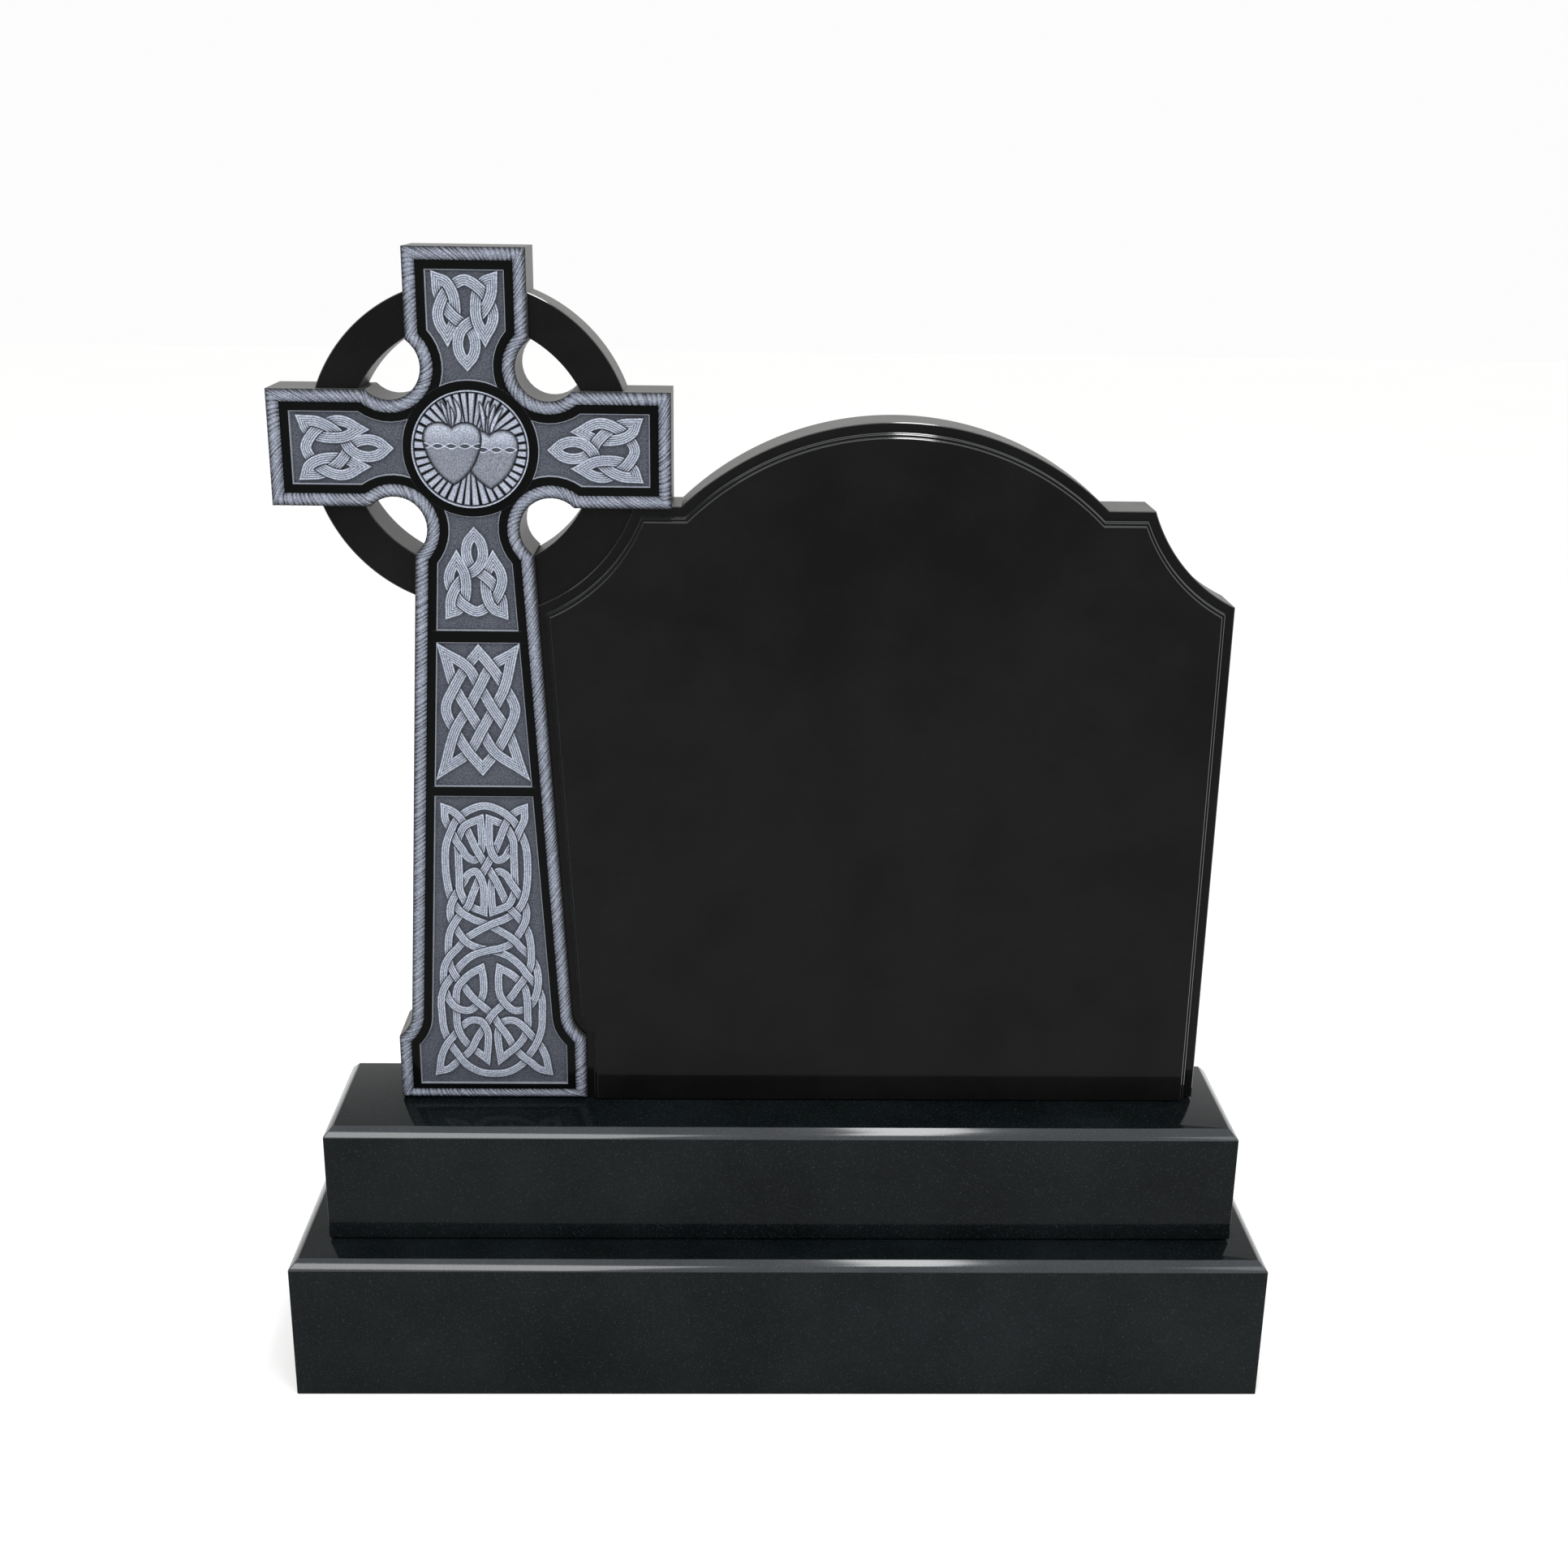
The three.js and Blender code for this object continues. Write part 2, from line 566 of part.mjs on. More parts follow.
function medallion() {
  const rimDisc = disc(CROSS_X, CROSS_Z, MEDALLION_RADIUS);
  const dishDisc = disc(CROSS_X, CROSS_Z, MEDALLION_RADIUS - RIM_WIDTH);
  const root = MEDALLION_FLOOR + 1;
  const rim = prism(rimDisc, MEDALLION_RIM_SETBACK, GROUND_DEPTH + 1);
  const pieces = [rim.subtract(prism(dishDisc, 0, MEDALLION_FLOOR))];
  for (let i = 0; i < RAY_COUNT; i += 1) {
    pieces.push(prism(ray(2 * HALF_TURN * (i + 0.5) / RAY_COUNT), RAY_SETBACK, root));
  }
  HEARTS.forEach((one) => {
    pieces.push(bevelledPrism(heart(one), one.setback, root, one.bevel, true));
    FLAME_LEANS.forEach((lean) => pieces.push(prism(flame(one, lean), FLAME_SETBACK, root)));
  });
  return unionOf(pieces);
}

// Sunk panels of the cross face: the inset outline less the medallion round and the bars across the shaft
function panelSolid() {
  let panels = prism(crossOutline(ROPE_WIDTH + CHANNEL_WIDTH), -1, GROUND_DEPTH);
  panels = panels.subtract(prism(disc(CROSS_X, CROSS_Z, MEDALLION_CHANNEL_RADIUS), -2, GROUND_DEPTH + 1));
  PANEL_BARS.forEach(([top, bottom]) => {
    panels = panels.subtract(prism(onCross(box(-120, bottom, 120, top)), -2, GROUND_DEPTH + 1));
  });
  return panels;
}

function knots() {
  const up = (x, z) => [x + CROSS_X, z + CROSS_Z];
  const left = (x, z) => [CROSS_X - z, x + CROSS_Z];
  const right = (x, z) => [CROSS_X + z, CROSS_Z - x];
  const down = (x, z) => [CROSS_X - x, CROSS_Z - z - 2];
  const places = [up, left, right, down];
  const arms = places.flatMap((place) => knotSolids(armKnot(place), ARM_STRAND_WIDTH, ARM_STEP));
  const plait = knotSolids(plaitKnot(up), PLAIT_STRAND_WIDTH, PLAIT_STEP);
  const ring = knotSolids(ringKnot(up), RING_STRAND_WIDTH, RING_STEP);
  return [...arms, ...plait, ...ring];
}

function headstoneSolid() {
  const cross = bevelledPrism(crossOutline(0), 0, SLAB_THICKNESS, ROPE_BEVEL, true);
  const ringDisc = prism(disc(CROSS_X, CROSS_Z, RING_OUTER, 72), RING_SETBACK, SLAB_THICKNESS);
  const ringHole = prism(disc(CROSS_X, CROSS_Z, RING_INNER, 60), 0, SLAB_THICKNESS + 1);
  const web = prism([
    ...arc(CROSS_X, CROSS_Z, SCOTIA_RADIUS + WEB_LAP, WEB_START, WEB_END, WEB_STEPS),
    ...arc(CROSS_X, CROSS_Z, (RING_INNER + RING_OUTER) / 2, WEB_END, WEB_START, WEB_STEPS),
  ], RING_SETBACK, SLAB_THICKNESS);
  const ring = ringDisc.subtract(ringHole);
  const band = prism(tabletOutline(0), BAND_SETBACK, SLAB_THICKNESS);
  const beside = prism(shaftBand(), -2, SLAB_THICKNESS + 1);
  const bead = prism(tabletOutline(BAND_WIDTH), BEAD_SETBACK, SLAB_THICKNESS).subtract(beside);
  const face = prism(tabletOutline(BAND_WIDTH + BEAD_WIDTH), 0, SLAB_THICKNESS).subtract(beside);
  const body = unionOf([cross, ring, web, band, bead, face]);
  const channel = prism(crossOutline(ROPE_WIDTH), -1, CHANNEL_DEPTH);
  const innerTaper = ROPE_BEVEL + 0.6;
  const innerBevel = bevelledPrism(crossOutline(ROPE_WIDTH - ROPE_BEVEL), -2, innerTaper, innerTaper, false);
  const carved = body.subtract(channel).subtract(innerBevel).subtract(panelSolid()).subtract(ropeCuts());
  return unionOf([carved, medallion(), ...knots()]);
}

// Bases with chamfered top edges, and the beds between the stones
function baseSolid(width, depth, height) {
  const outline = (w, d) => [[-w / 2, -d / 2], [w / 2, -d / 2], [w / 2, d / 2], [-w / 2, d / 2]];
  const shape = new THREE.Shape(outline(width, depth).map(([x, y]) => new THREE.Vector2(x, y)));
  const geometry = new THREE.ExtrudeGeometry(shape, {
    depth: height - BASE_CHAMFER, bevelEnabled: true, bevelThickness: BASE_CHAMFER, bevelSize: BASE_CHAMFER,
    bevelOffset: -BASE_CHAMFER, bevelSegments: 1,
  });
  const trim = new THREE.BoxGeometry(2 * width, 2 * depth, height);
  trim.translate(0, 0, height / 2);
  return solidOf(geometry).intersect(solidOf(trim));
}

function piece(name, geometry, material, x, z) {
  const mesh = new THREE.Mesh(geometry, material);
  mesh.name = name;
  mesh.position.set(x, 0, z);
  return mesh;
}

const polished = new THREE.MeshStandardMaterial({ color: 0x2a2c2c, roughness: 0.12, metalness: 0 });
const basePolish = new THREE.MeshStandardMaterial({ color: 0x2b3133, roughness: 0.15, metalness: 0 });
const bedding = new THREE.MeshStandardMaterial({ color: 0x0b0c0c, roughness: 0.8, metalness: 0 });

const monument = new THREE.Group();
const upperBottom = LOWER_HEIGHT + BED_THICKNESS;
const lowerBase = baseSolid(LOWER_WIDTH, LOWER_DEPTH, LOWER_HEIGHT);
const upperBase = baseSolid(UPPER_WIDTH, UPPER_DEPTH, UPPER_HEIGHT);
monument.add(piece("lower_base", geometryOf(lowerBase), basePolish, 0, 0));
monument.add(piece("upper_base", geometryOf(upperBase), basePolish, UPPER_SHIFT, upperBottom));
monument.add(piece("headstone", geometryOf(headstoneSolid()), polished, 0, 0));

const lowerBed = new THREE.BoxGeometry(UPPER_WIDTH - 2 * BED_INSET, UPPER_DEPTH - 2 * BED_INSET, BED_THICKNESS);
monument.add(piece("lower_bed", lowerBed, bedding, UPPER_SHIFT, LOWER_HEIGHT + BED_THICKNESS / 2));
const slabLeft = CROSS_X - PLINTH_HALF;
const slabRight = TABLET_X + TABLET_HALF_WIDTH;
const upperBedWidth = slabRight - slabLeft - 2 * BED_INSET;
const upperBed = new THREE.BoxGeometry(upperBedWidth, SLAB_THICKNESS - 2 * BED_INSET, BED_THICKNESS);
upperBed.translate(0, SLAB_FRONT + SLAB_THICKNESS / 2, 0);
const upperBedZ = HEADSTONE_BOTTOM - BED_THICKNESS / 2;
monument.add(piece("upper_bed", upperBed, bedding, (slabLeft + slabRight) / 2, upperBedZ));

export default monument;
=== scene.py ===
"""The looks of the celtic cross headstone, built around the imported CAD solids.

Lengths of the stones are in millimetres. Floor, lights, camera and bumps are in metres.
"""

import math

import bmesh
import bpy
import numpy as np
from mathutils import Matrix, Vector

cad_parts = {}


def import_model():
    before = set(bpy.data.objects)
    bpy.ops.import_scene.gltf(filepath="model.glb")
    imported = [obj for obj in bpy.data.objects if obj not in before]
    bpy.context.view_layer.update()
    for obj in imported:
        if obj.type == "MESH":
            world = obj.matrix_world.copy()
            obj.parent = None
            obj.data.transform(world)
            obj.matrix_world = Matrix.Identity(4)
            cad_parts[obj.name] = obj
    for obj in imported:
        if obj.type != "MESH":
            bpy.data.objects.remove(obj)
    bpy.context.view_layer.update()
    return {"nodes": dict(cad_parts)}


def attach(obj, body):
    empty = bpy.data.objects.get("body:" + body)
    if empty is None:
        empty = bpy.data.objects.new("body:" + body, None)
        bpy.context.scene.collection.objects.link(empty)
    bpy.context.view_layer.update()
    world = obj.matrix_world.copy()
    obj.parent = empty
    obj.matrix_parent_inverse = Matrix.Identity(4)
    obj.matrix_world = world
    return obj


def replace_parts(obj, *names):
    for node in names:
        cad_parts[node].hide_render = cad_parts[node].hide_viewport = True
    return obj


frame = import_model()

# Sizes shared with the solids
LOWER_WIDTH, LOWER_DEPTH, LOWER_HEIGHT = 1220.0, 305.0, 190.0
UPPER_WIDTH, UPPER_DEPTH, UPPER_HEIGHT, UPPER_SHIFT = 1142.0, 195.0, 152.0, 2.0
BASE_CHAMFER = 11.0
BED = 2.5
SLAB_THICKNESS, SLAB_FRONT = 80.0, -15.5
RING_SETBACK, BAND_SETBACK, BEAD_SETBACK = 15.0, 10.0, 3.5
FOOT_Z = LOWER_HEIGHT + UPPER_HEIGHT + 2 * BED
CROSS_X, CROSS_Z = -366.0, FOOT_Z + 825.0
TOP_REACH, ARM_REACH, TOP_HALF, ARM_HALF = 224.0, 230.0, 69.0, 66.5
NOTCH_X, NOTCH_Z, NOTCH_RADIUS = 90.5, 92.0, 37.0
SHAFT_TOP_HALF, SHAFT_TOP_DROP, SHAFT_FOOT_HALF = 68.5, 122.0, 100.5
FLARE_START, FLARE_END, PLINTH_HALF, PLINTH_DROP = 709.0, 741.0, 118.0, 825.0
RING_OUTER, RING_INNER = 188.0, 142.5
ROPE_WIDTH, CHANNEL_WIDTH, CHANNEL_DEPTH, GROUND_DEPTH = 14.5, 10.5, 5.0, 9.0
FOOT_INSET_RATIO = 0.72
MEDALLION_RADIUS, MEDALLION_CHANNEL = 67.0, 78.0
BARS = ((-213.0, -228.0), (-407.0, -420.0))
TABLET_X, TABLET_HALF, ARCH_HALF, ARCH_RISE = 125.0, 407.5, 250.0, 100.0
SHOULDER_Z = CROSS_Z - 64.5
SCOTIA_RADIUS = 197.0
BAND_WIDTH, BEAD_WIDTH = 12.5, 4.0
SHAFT_BAND = 13.5
FLARE_HOLD = 18.0

# Faces that overlap lie a little apart, so that no two share a plane
PLANE_GAP = 0.06
TABLET_BACK, RING_BACK, WEB_BACK = (SLAB_THICKNESS - k * PLANE_GAP for k in (1, 2, 3))
WEB_FRONT = RING_SETBACK - PLANE_GAP

# Steps along the curves
FLARE_STEPS, NOTCH_STEPS, CIRCLE_STEPS, ARCH_STEPS, SCOTIA_STEPS, WEB_STEPS = 8, 18, 192, 64, 24, 40

MM_PER_METRE = 1000.0
TINY = 1e-12

rng = np.random.default_rng(20261)


# ---- materials
def material(name):
    m = bpy.data.materials.new(name)
    m.use_nodes = True
    nodes, links = m.node_tree.nodes, m.node_tree.links
    shader = nodes["Principled BSDF"]
    return m, nodes, links, shader


def noise(nodes, links, coords, scale, detail=2.0, roughness=0.5):
    node = nodes.new("ShaderNodeTexNoise")
    node.inputs["Scale"].default_value = scale
    node.inputs["Detail"].default_value = detail
    node.inputs["Roughness"].default_value = roughness
    links.new(coords.outputs["Object"], node.inputs["Vector"])
    return node


def cells(nodes, links, coords, scale, feature="F1"):
    node = nodes.new("ShaderNodeTexVoronoi")
    node.feature = feature
    node.inputs["Scale"].default_value = scale
    links.new(coords.outputs["Object"], node.inputs["Vector"])
    return node


def ramp(nodes, links, source, stops):
    node = nodes.new("ShaderNodeValToRGB")
    band = node.color_ramp
    while len(band.elements) < len(stops):
        band.elements.new(0.5)
    for element, (place, colour) in zip(band.elements, stops):
        element.position = place
        element.color = (*colour, 1.0)
    links.new(source, node.inputs["Fac"])
    return node


# Sockets of the mix node that carry colours
MIX_INPUTS = (0, 6, 7)
MIX_OUTPUT = 2
BLACK, WHITE = (0, 0, 0), (1, 1, 1)


def mix(nodes, links, factor, a, b, blend="MIX"):
    node = nodes.new("ShaderNodeMix")
    node.data_type = "RGBA"
    node.blend_type = blend
    for place, value in zip(MIX_INPUTS, (factor, a, b)):
        socket = node.inputs[place]
        if isinstance(value, bpy.types.NodeSocket):
            links.new(value, socket)
        elif isinstance(value, tuple):
            socket.default_value = (*value, 1.0)
        else:
            socket.default_value = value
    return node.outputs[MIX_OUTPUT]


def granite(name, dark, mid, fleck, fleck_share, rough, spec, flecks=900.0, cloud=7.0):
    """Polished or honed granite: a dark body with soft clouds and fine mineral flecks."""
    m, nodes, links, shader = material(name)
    coords = nodes.new("ShaderNodeTexCoord")
    clouds = noise(nodes, links, coords, cloud, 5.0, 0.6)
    grain = noise(nodes, links, coords, flecks, 2.0, 0.6)
    crystal = cells(nodes, links, coords, flecks * 0.42)
    base = ramp(nodes, links, clouds.outputs["Fac"], [(0.35, dark), (0.7, mid)])
    edge = 1 - fleck_share
    light = ramp(nodes, links, grain.outputs["Fac"], [(edge - 0.05, BLACK), (edge + 0.05, WHITE)])
    colour = mix(nodes, links, light.outputs["Color"], base.outputs["Color"], fleck)
    shade = ramp(nodes, links, crystal.outputs["Distance"], [(0.0, WHITE), (0.75, (0.72, 0.72, 0.74))])
    colour = mix(nodes, links, 0.5, colour, shade.outputs["Color"], "MULTIPLY")
    links.new(colour, shader.inputs["Base Color"])
    shader.inputs["Roughness"].default_value = rough
    shader.inputs["Specular IOR Level"].default_value = spec
    return m


def carved(name, light, deep, speck, bump_scale, bump_depth, rough, grit=620.0):
    """Blasted and tooled granite with a fine grain, pale where the tone is high and dark where it is low. On
    the carvings the tone holds painted shade in the cuts, at the edges and round the feet, and painted light
    on the raised parts.
    """
    m, nodes, links, shader = material(name)
    coords = nodes.new("ShaderNodeTexCoord")
    tone = nodes.new("ShaderNodeAttribute")
    tone.attribute_name = "tone"
    grain = noise(nodes, links, coords, grit, 3.0, 0.65)
    broad = noise(nodes, links, coords, 38.0, 3.0, 0.6)
    speckle = ramp(nodes, links, grain.outputs["Fac"], [(0.38, speck), (0.60, WHITE)])
    drift = ramp(nodes, links, broad.outputs["Fac"], [(0.3, (0.84, 0.85, 0.87)), (0.7, WHITE)])
    colour = mix(nodes, links, tone.outputs["Fac"], deep, light)
    colour = mix(nodes, links, 1.0, colour, speckle.outputs["Color"], "MULTIPLY")
    colour = mix(nodes, links, 1.0, colour, drift.outputs["Color"], "MULTIPLY")
    links.new(colour, shader.inputs["Base Color"])
    pits = cells(nodes, links, coords, bump_scale, "SMOOTH_F1")
    bump = nodes.new("ShaderNodeBump")
    bump.inputs["Distance"].default_value = bump_depth
    bump.inputs["Strength"].default_value = 0.9
    links.new(pits.outputs["Distance"], bump.inputs["Height"])
    links.new(bump.outputs["Normal"], shader.inputs["Normal"])
    shader.inputs["Roughness"].default_value = rough
    shader.inputs["Specular IOR Level"].default_value = 0.35
    return m


POLISHED = granite(
    "polished_black", dark=(0.0030, 0.0031, 0.0030), mid=(0.0062, 0.0063, 0.0060),
    fleck=(0.015, 0.0155, 0.016), fleck_share=0.30, rough=0.08, spec=0.07)
# Darker copy of the polished black: painted shade for the recessed channel and the levels that lie at its
# depth
CHANNEL_SHADE = granite(
    "channel_black_painted_shade", dark=(0.002, 0.0022, 0.0022), mid=(0.0035, 0.0038, 0.0038),
    fleck=(0.008, 0.0085, 0.009), fleck_share=0.25, rough=0.12, spec=0.04)
BASE_POLISH = granite(
    "polished_base", dark=(0.0022, 0.0034, 0.0038), mid=(0.0072, 0.0096, 0.0104),
    fleck=(0.024, 0.031, 0.034), fleck_share=0.34, rough=0.10, spec=0.08, flecks=620.0, cloud=5.0)
# Lighter copy of the base polish: a painted sheen along the chamfers of the bases
CHAMFER_SHEEN = granite(
    "chamfer_painted_sheen", dark=(0.012, 0.015, 0.018), mid=(0.026, 0.031, 0.036),
    fleck=(0.07, 0.08, 0.092), fleck_share=0.34, rough=0.11, spec=0.55)
# Lighter copy of the polished black: a painted highlight on the small bevels of the ring and the tablet
ARRIS_HIGHLIGHT = granite(
    "arris_painted_highlight", dark=(0.010, 0.011, 0.012), mid=(0.016, 0.018, 0.020),
    fleck=(0.04, 0.044, 0.05), fleck_share=0.34, rough=0.12, spec=1.0)
HONED = granite(
    "honed_side", dark=(0.030, 0.030, 0.027), mid=(0.058, 0.057, 0.051),
    fleck=(0.11, 0.108, 0.10), fleck_share=0.36, rough=0.42, spec=0.35)
BACK = granite(
    "honed_back", dark=(0.03, 0.032, 0.033), mid=(0.045, 0.048, 0.049),
    fleck=(0.085, 0.09, 0.092), fleck_share=0.34, rough=0.42, spec=0.35)
BEDDING = granite(
    "bedding", dark=(0.006, 0.006, 0.007), mid=(0.01, 0.01, 0.011),
    fleck=(0.014, 0.014, 0.015), fleck_share=0.3, rough=0.85, spec=0.2)
# The deep colours of the rope and the strands are painted shade; the tone of each point sets how much of it
# shows
ROPE = carved(
    "carved_rope", light=(0.36, 0.39, 0.465), deep=(0.008, 0.010, 0.014), speck=(0.40, 0.42, 0.47),
    bump_scale=520.0, bump_depth=0.0008, rough=0.6)
STRAND = carved(
    "carved_strand", light=(0.50, 0.54, 0.625), deep=(0.012, 0.014, 0.019), speck=(0.44, 0.46, 0.51),
    bump_scale=900.0, bump_depth=0.00025, rough=0.72)
# The stippled finish is grey; it is made darker still as painted shade in the sunk panels
GROUND_AND_SHADE = carved(
    "stippled_ground_and_painted_shade", light=(0.118, 0.130, 0.162), deep=(0.03, 0.034, 0.042), speck=(0.16, 0.17, 0.20),
    bump_scale=520.0, bump_depth=0.0013, rough=0.8, grit=900.0)
RIM = carved(
    "cut_rim", light=(0.27, 0.29, 0.33), deep=(0.1, 0.11, 0.125), speck=(0.7, 0.72, 0.75),
    bump_scale=800.0, bump_depth=0.0002, rough=0.6)


# ---- meshes
def build(name, points, faces, materials, indices=None, tone=None, sharp=32.0, slot="polished", body="root"):
    """An object from points in millimetres, with a material for each face and a tone for each point."""
    mesh = bpy.data.meshes.new(name)
    mesh.from_pydata((np.asarray(points, float) / MM_PER_METRE).tolist(), [], faces)
    for m in materials:
        mesh.materials.append(m)
    if indices is not None:
        mesh.polygons.foreach_set("material_index", np.asarray(indices, np.int32))
    if tone is not None:
        layer = mesh.attributes.new("tone", "FLOAT", "POINT")
        layer.data.foreach_set("value", np.asarray(tone, np.float32))
    work = bmesh.new()
    work.from_mesh(mesh)
    bmesh.ops.recalc_face_normals(work, faces=work.faces)
    work.to_mesh(mesh)
    work.free()
    mesh.polygons.foreach_set("use_smooth", np.ones(len(mesh.polygons), bool))
    mesh.set_sharp_from_angle(angle=math.radians(sharp))
    mesh.update()
    piece = bpy.data.objects.new(name, mesh)
    bpy.context.scene.collection.objects.link(piece)
    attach(piece, body)
    return piece


def ring_faces(rows, columns, closed_rows=False):
    """Quads over a grid whose columns close on themselves."""
    i = np.arange(rows if closed_rows else rows - 1)
    j = np.arange(columns)
    a = (i[:, None] * columns + j[None, :]).ravel()
    b = (i[:, None] * columns + (j[None, :] + 1) % columns).ravel()
    c = (((i[:, None] + 1) % rows) * columns + (j[None, :] + 1) % columns).ravel()
    d = (((i[:, None] + 1) % rows) * columns + j[None, :]).ravel()
    return np.stack([a, b, c, d], 1)


def capped_faces(rows, columns):
    """The quads of a tube that is open along its rows, and a face over each of its ends."""
    ends = [list(range(columns)), list(range((rows - 1) * columns, rows * columns))]
    return ring_faces(rows, columns).tolist() + ends


def at_depth(xz, depth):
    """Points [x, y, z] from an array of [x, z], at a depth behind the front of the slab."""
    return np.column_stack([xz[:, 0], np.broadcast_to(SLAB_FRONT + depth, len(xz)), xz[:, 1]])


def loft(name, rings, materials, bands, caps, **extra):
    """A closed solid through outlines of equal length, each an array of [x, z] with its depth."""
    count = len(rings[0][0])
    points = np.vstack([at_depth(xz, depth) for xz, depth in rings])
    indices = np.repeat(bands, count).tolist() + list(caps)
    return build(name, points, capped_faces(len(rings), count), materials, indices, **extra)


def arc(cx, cz, radius, start, end, steps):
    angle = np.linspace(start, end, steps + 1)
    return np.column_stack([cx + radius * np.cos(angle), cz + radius * np.sin(angle)])


# ---- outlines, as in the solids but with finer arcs
def shaft_half(drop):
    """Half the shaft's width at a drop below the middle of the cross."""
    growth = (SHAFT_FOOT_HALF - SHAFT_TOP_HALF) * (drop - SHAFT_TOP_DROP)
    return SHAFT_TOP_HALF + growth / (FLARE_START - SHAFT_TOP_DROP)


def flare(inset):
    """The shaft's foot, curving out to the plinth."""
    a = np.array([SHAFT_FOOT_HALF - inset, -FLARE_START - inset / 4])
    b = np.array([SHAFT_FOOT_HALF - inset + 1, -FLARE_START - FLARE_HOLD - inset / 3])
    c = np.array([PLINTH_HALF - inset, -FLARE_END - inset / 2])
    t = np.linspace(0, 1, FLARE_STEPS + 1)[:, None]
    return (1 - t) ** 2 * a + 2 * t * (1 - t) * b + t * t * c


def cross_half(inset):
    """The right half of the cross, from the top to the foot, round the middle of the cross."""
    top, half, arm, reach = TOP_REACH - inset, TOP_HALF - inset, ARM_HALF - inset, ARM_REACH - inset
    radius = NOTCH_RADIUS + inset
    beside = math.sqrt(radius ** 2 - (NOTCH_X - half) ** 2)
    below = math.sqrt(radius ** 2 - (NOTCH_Z - arm) ** 2)
    start = math.atan2(beside, half - NOTCH_X)
    end = 2 * math.pi + math.atan2(arm - NOTCH_Z, below)
    upper = arc(NOTCH_X, NOTCH_Z, radius, start, end, NOTCH_STEPS)
    lower = (upper * [1, -1])[::-1].copy()
    lower[-1, 0] = shaft_half(SHAFT_TOP_DROP) - inset
    end_of_arm = [[reach, arm], [reach, -arm]]
    foot = [[PLINTH_HALF - inset, -PLINTH_DROP + inset * FOOT_INSET_RATIO]]
    return np.vstack([[[half, top]], upper, end_of_arm, lower, flare(inset), foot])


def cross_outline(inset):
    """Clockwise seen from the front, starting at the top right corner."""
    half = cross_half(inset)
    whole = np.vstack([half, (half * [-1, 1])[::-1]])
    return whole + [CROSS_X, CROSS_Z]


def tablet_outline(inset, shaft_gap):
    """Tablet moved inwards by an inset. Its left edge follows the shaft's edge at a distance."""
    radius = (ARCH_HALF ** 2 + ARCH_RISE ** 2) / (2 * ARCH_RISE)
    middle = SHOULDER_Z + ARCH_RISE - radius
    shoulder = SHOULDER_Z - inset
    arch_end = math.asin((shoulder - middle) / (radius - inset))
    arch = arc(TABLET_X, middle, radius - inset, math.pi - arch_end, arch_end, ARCH_STEPS)
    scotia = SCOTIA_RADIUS + inset
    start = math.asin((CROSS_Z - shoulder) / scotia)
    side = TABLET_X + TABLET_HALF - inset
    far_x = 2 * TABLET_X - CROSS_X
    end = math.acos((far_x - side) / scotia)
    right = arc(far_x, CROSS_Z, scotia, math.pi + start, math.pi + end, SCOTIA_STEPS)
    slope = (SHAFT_FOOT_HALF - SHAFT_TOP_HALF) / (FLARE_START - SHAFT_TOP_DROP)
    base = SHAFT_TOP_HALF + shaft_gap - slope * SHAFT_TOP_DROP
    lean = 1 + slope ** 2
    root = math.sqrt((base * slope) ** 2 - lean * (base ** 2 - scotia ** 2))
    drop = (-base * slope + root) / lean
    meet = math.atan2(-drop, base + slope * drop)
    left = arc(CROSS_X, CROSS_Z, scotia, meet, -start, SCOTIA_STEPS)
    foot = flare(-shaft_gap)[::-1] + [CROSS_X, CROSS_Z]
    corner = [[CROSS_X + PLINTH_HALF + shaft_gap, FOOT_Z]]
    return np.vstack([corner, foot, left, arch, right, [[side, FOOT_Z]]])


def circle(radius):
    """A ring of points round the middle of the cross."""
    return arc(CROSS_X, CROSS_Z, radius, 0, 2 * math.pi, CIRCLE_STEPS)[:-1]


# ---- cross: body with its channel and sunk panels
BACK_BEVEL = 1.2
CUT_TONE = 0.75


def cross_body():
    wall = ROPE_WIDTH + CHANNEL_WIDTH
    rings = [
        (cross_outline(BACK_BEVEL), SLAB_THICKNESS),
        (cross_outline(0.0), SLAB_THICKNESS - BACK_BEVEL),
        (cross_outline(0.0), CHANNEL_DEPTH + 0.3),
        (cross_outline(1.0), CHANNEL_DEPTH),
        (cross_outline(wall - 0.4), CHANNEL_DEPTH),
        (cross_outline(wall + 0.6), CHANNEL_DEPTH + 0.9),
        (cross_outline(wall + 0.9), GROUND_DEPTH),
    ]
    tone = np.full(len(rings) * len(rings[0][0]), CUT_TONE)
    # The channel takes the darker black, a painted shade for the recess
    materials = [CHANNEL_SHADE, HONED, RIM, GROUND_AND_SHADE, BACK]
    # The front cap is the sunk ground, its stippled grey darkened as painted shade
    return loft("cross_body", rings, materials, [1, 1, 0, 0, 2, 2], [4, 3], tone=tone)


def raised(name, outline, top_grow, top_rise):
    """A polished level that stands in the sunk panels with a cut rim. The outline takes how far it grows."""
    rings = [
        (outline(0.6), GROUND_DEPTH + 1),
        (outline(0.5), CHANNEL_DEPTH + 0.9),
        (outline(top_grow), CHANNEL_DEPTH - top_rise),
    ]
    tone = np.full(len(rings) * len(rings[0][0]), CUT_TONE)
    # The level takes the darker black, a painted shade for the recess
    return loft(name, rings, [CHANNEL_SHADE, RIM], [1, 1], [0, 0], tone=tone)


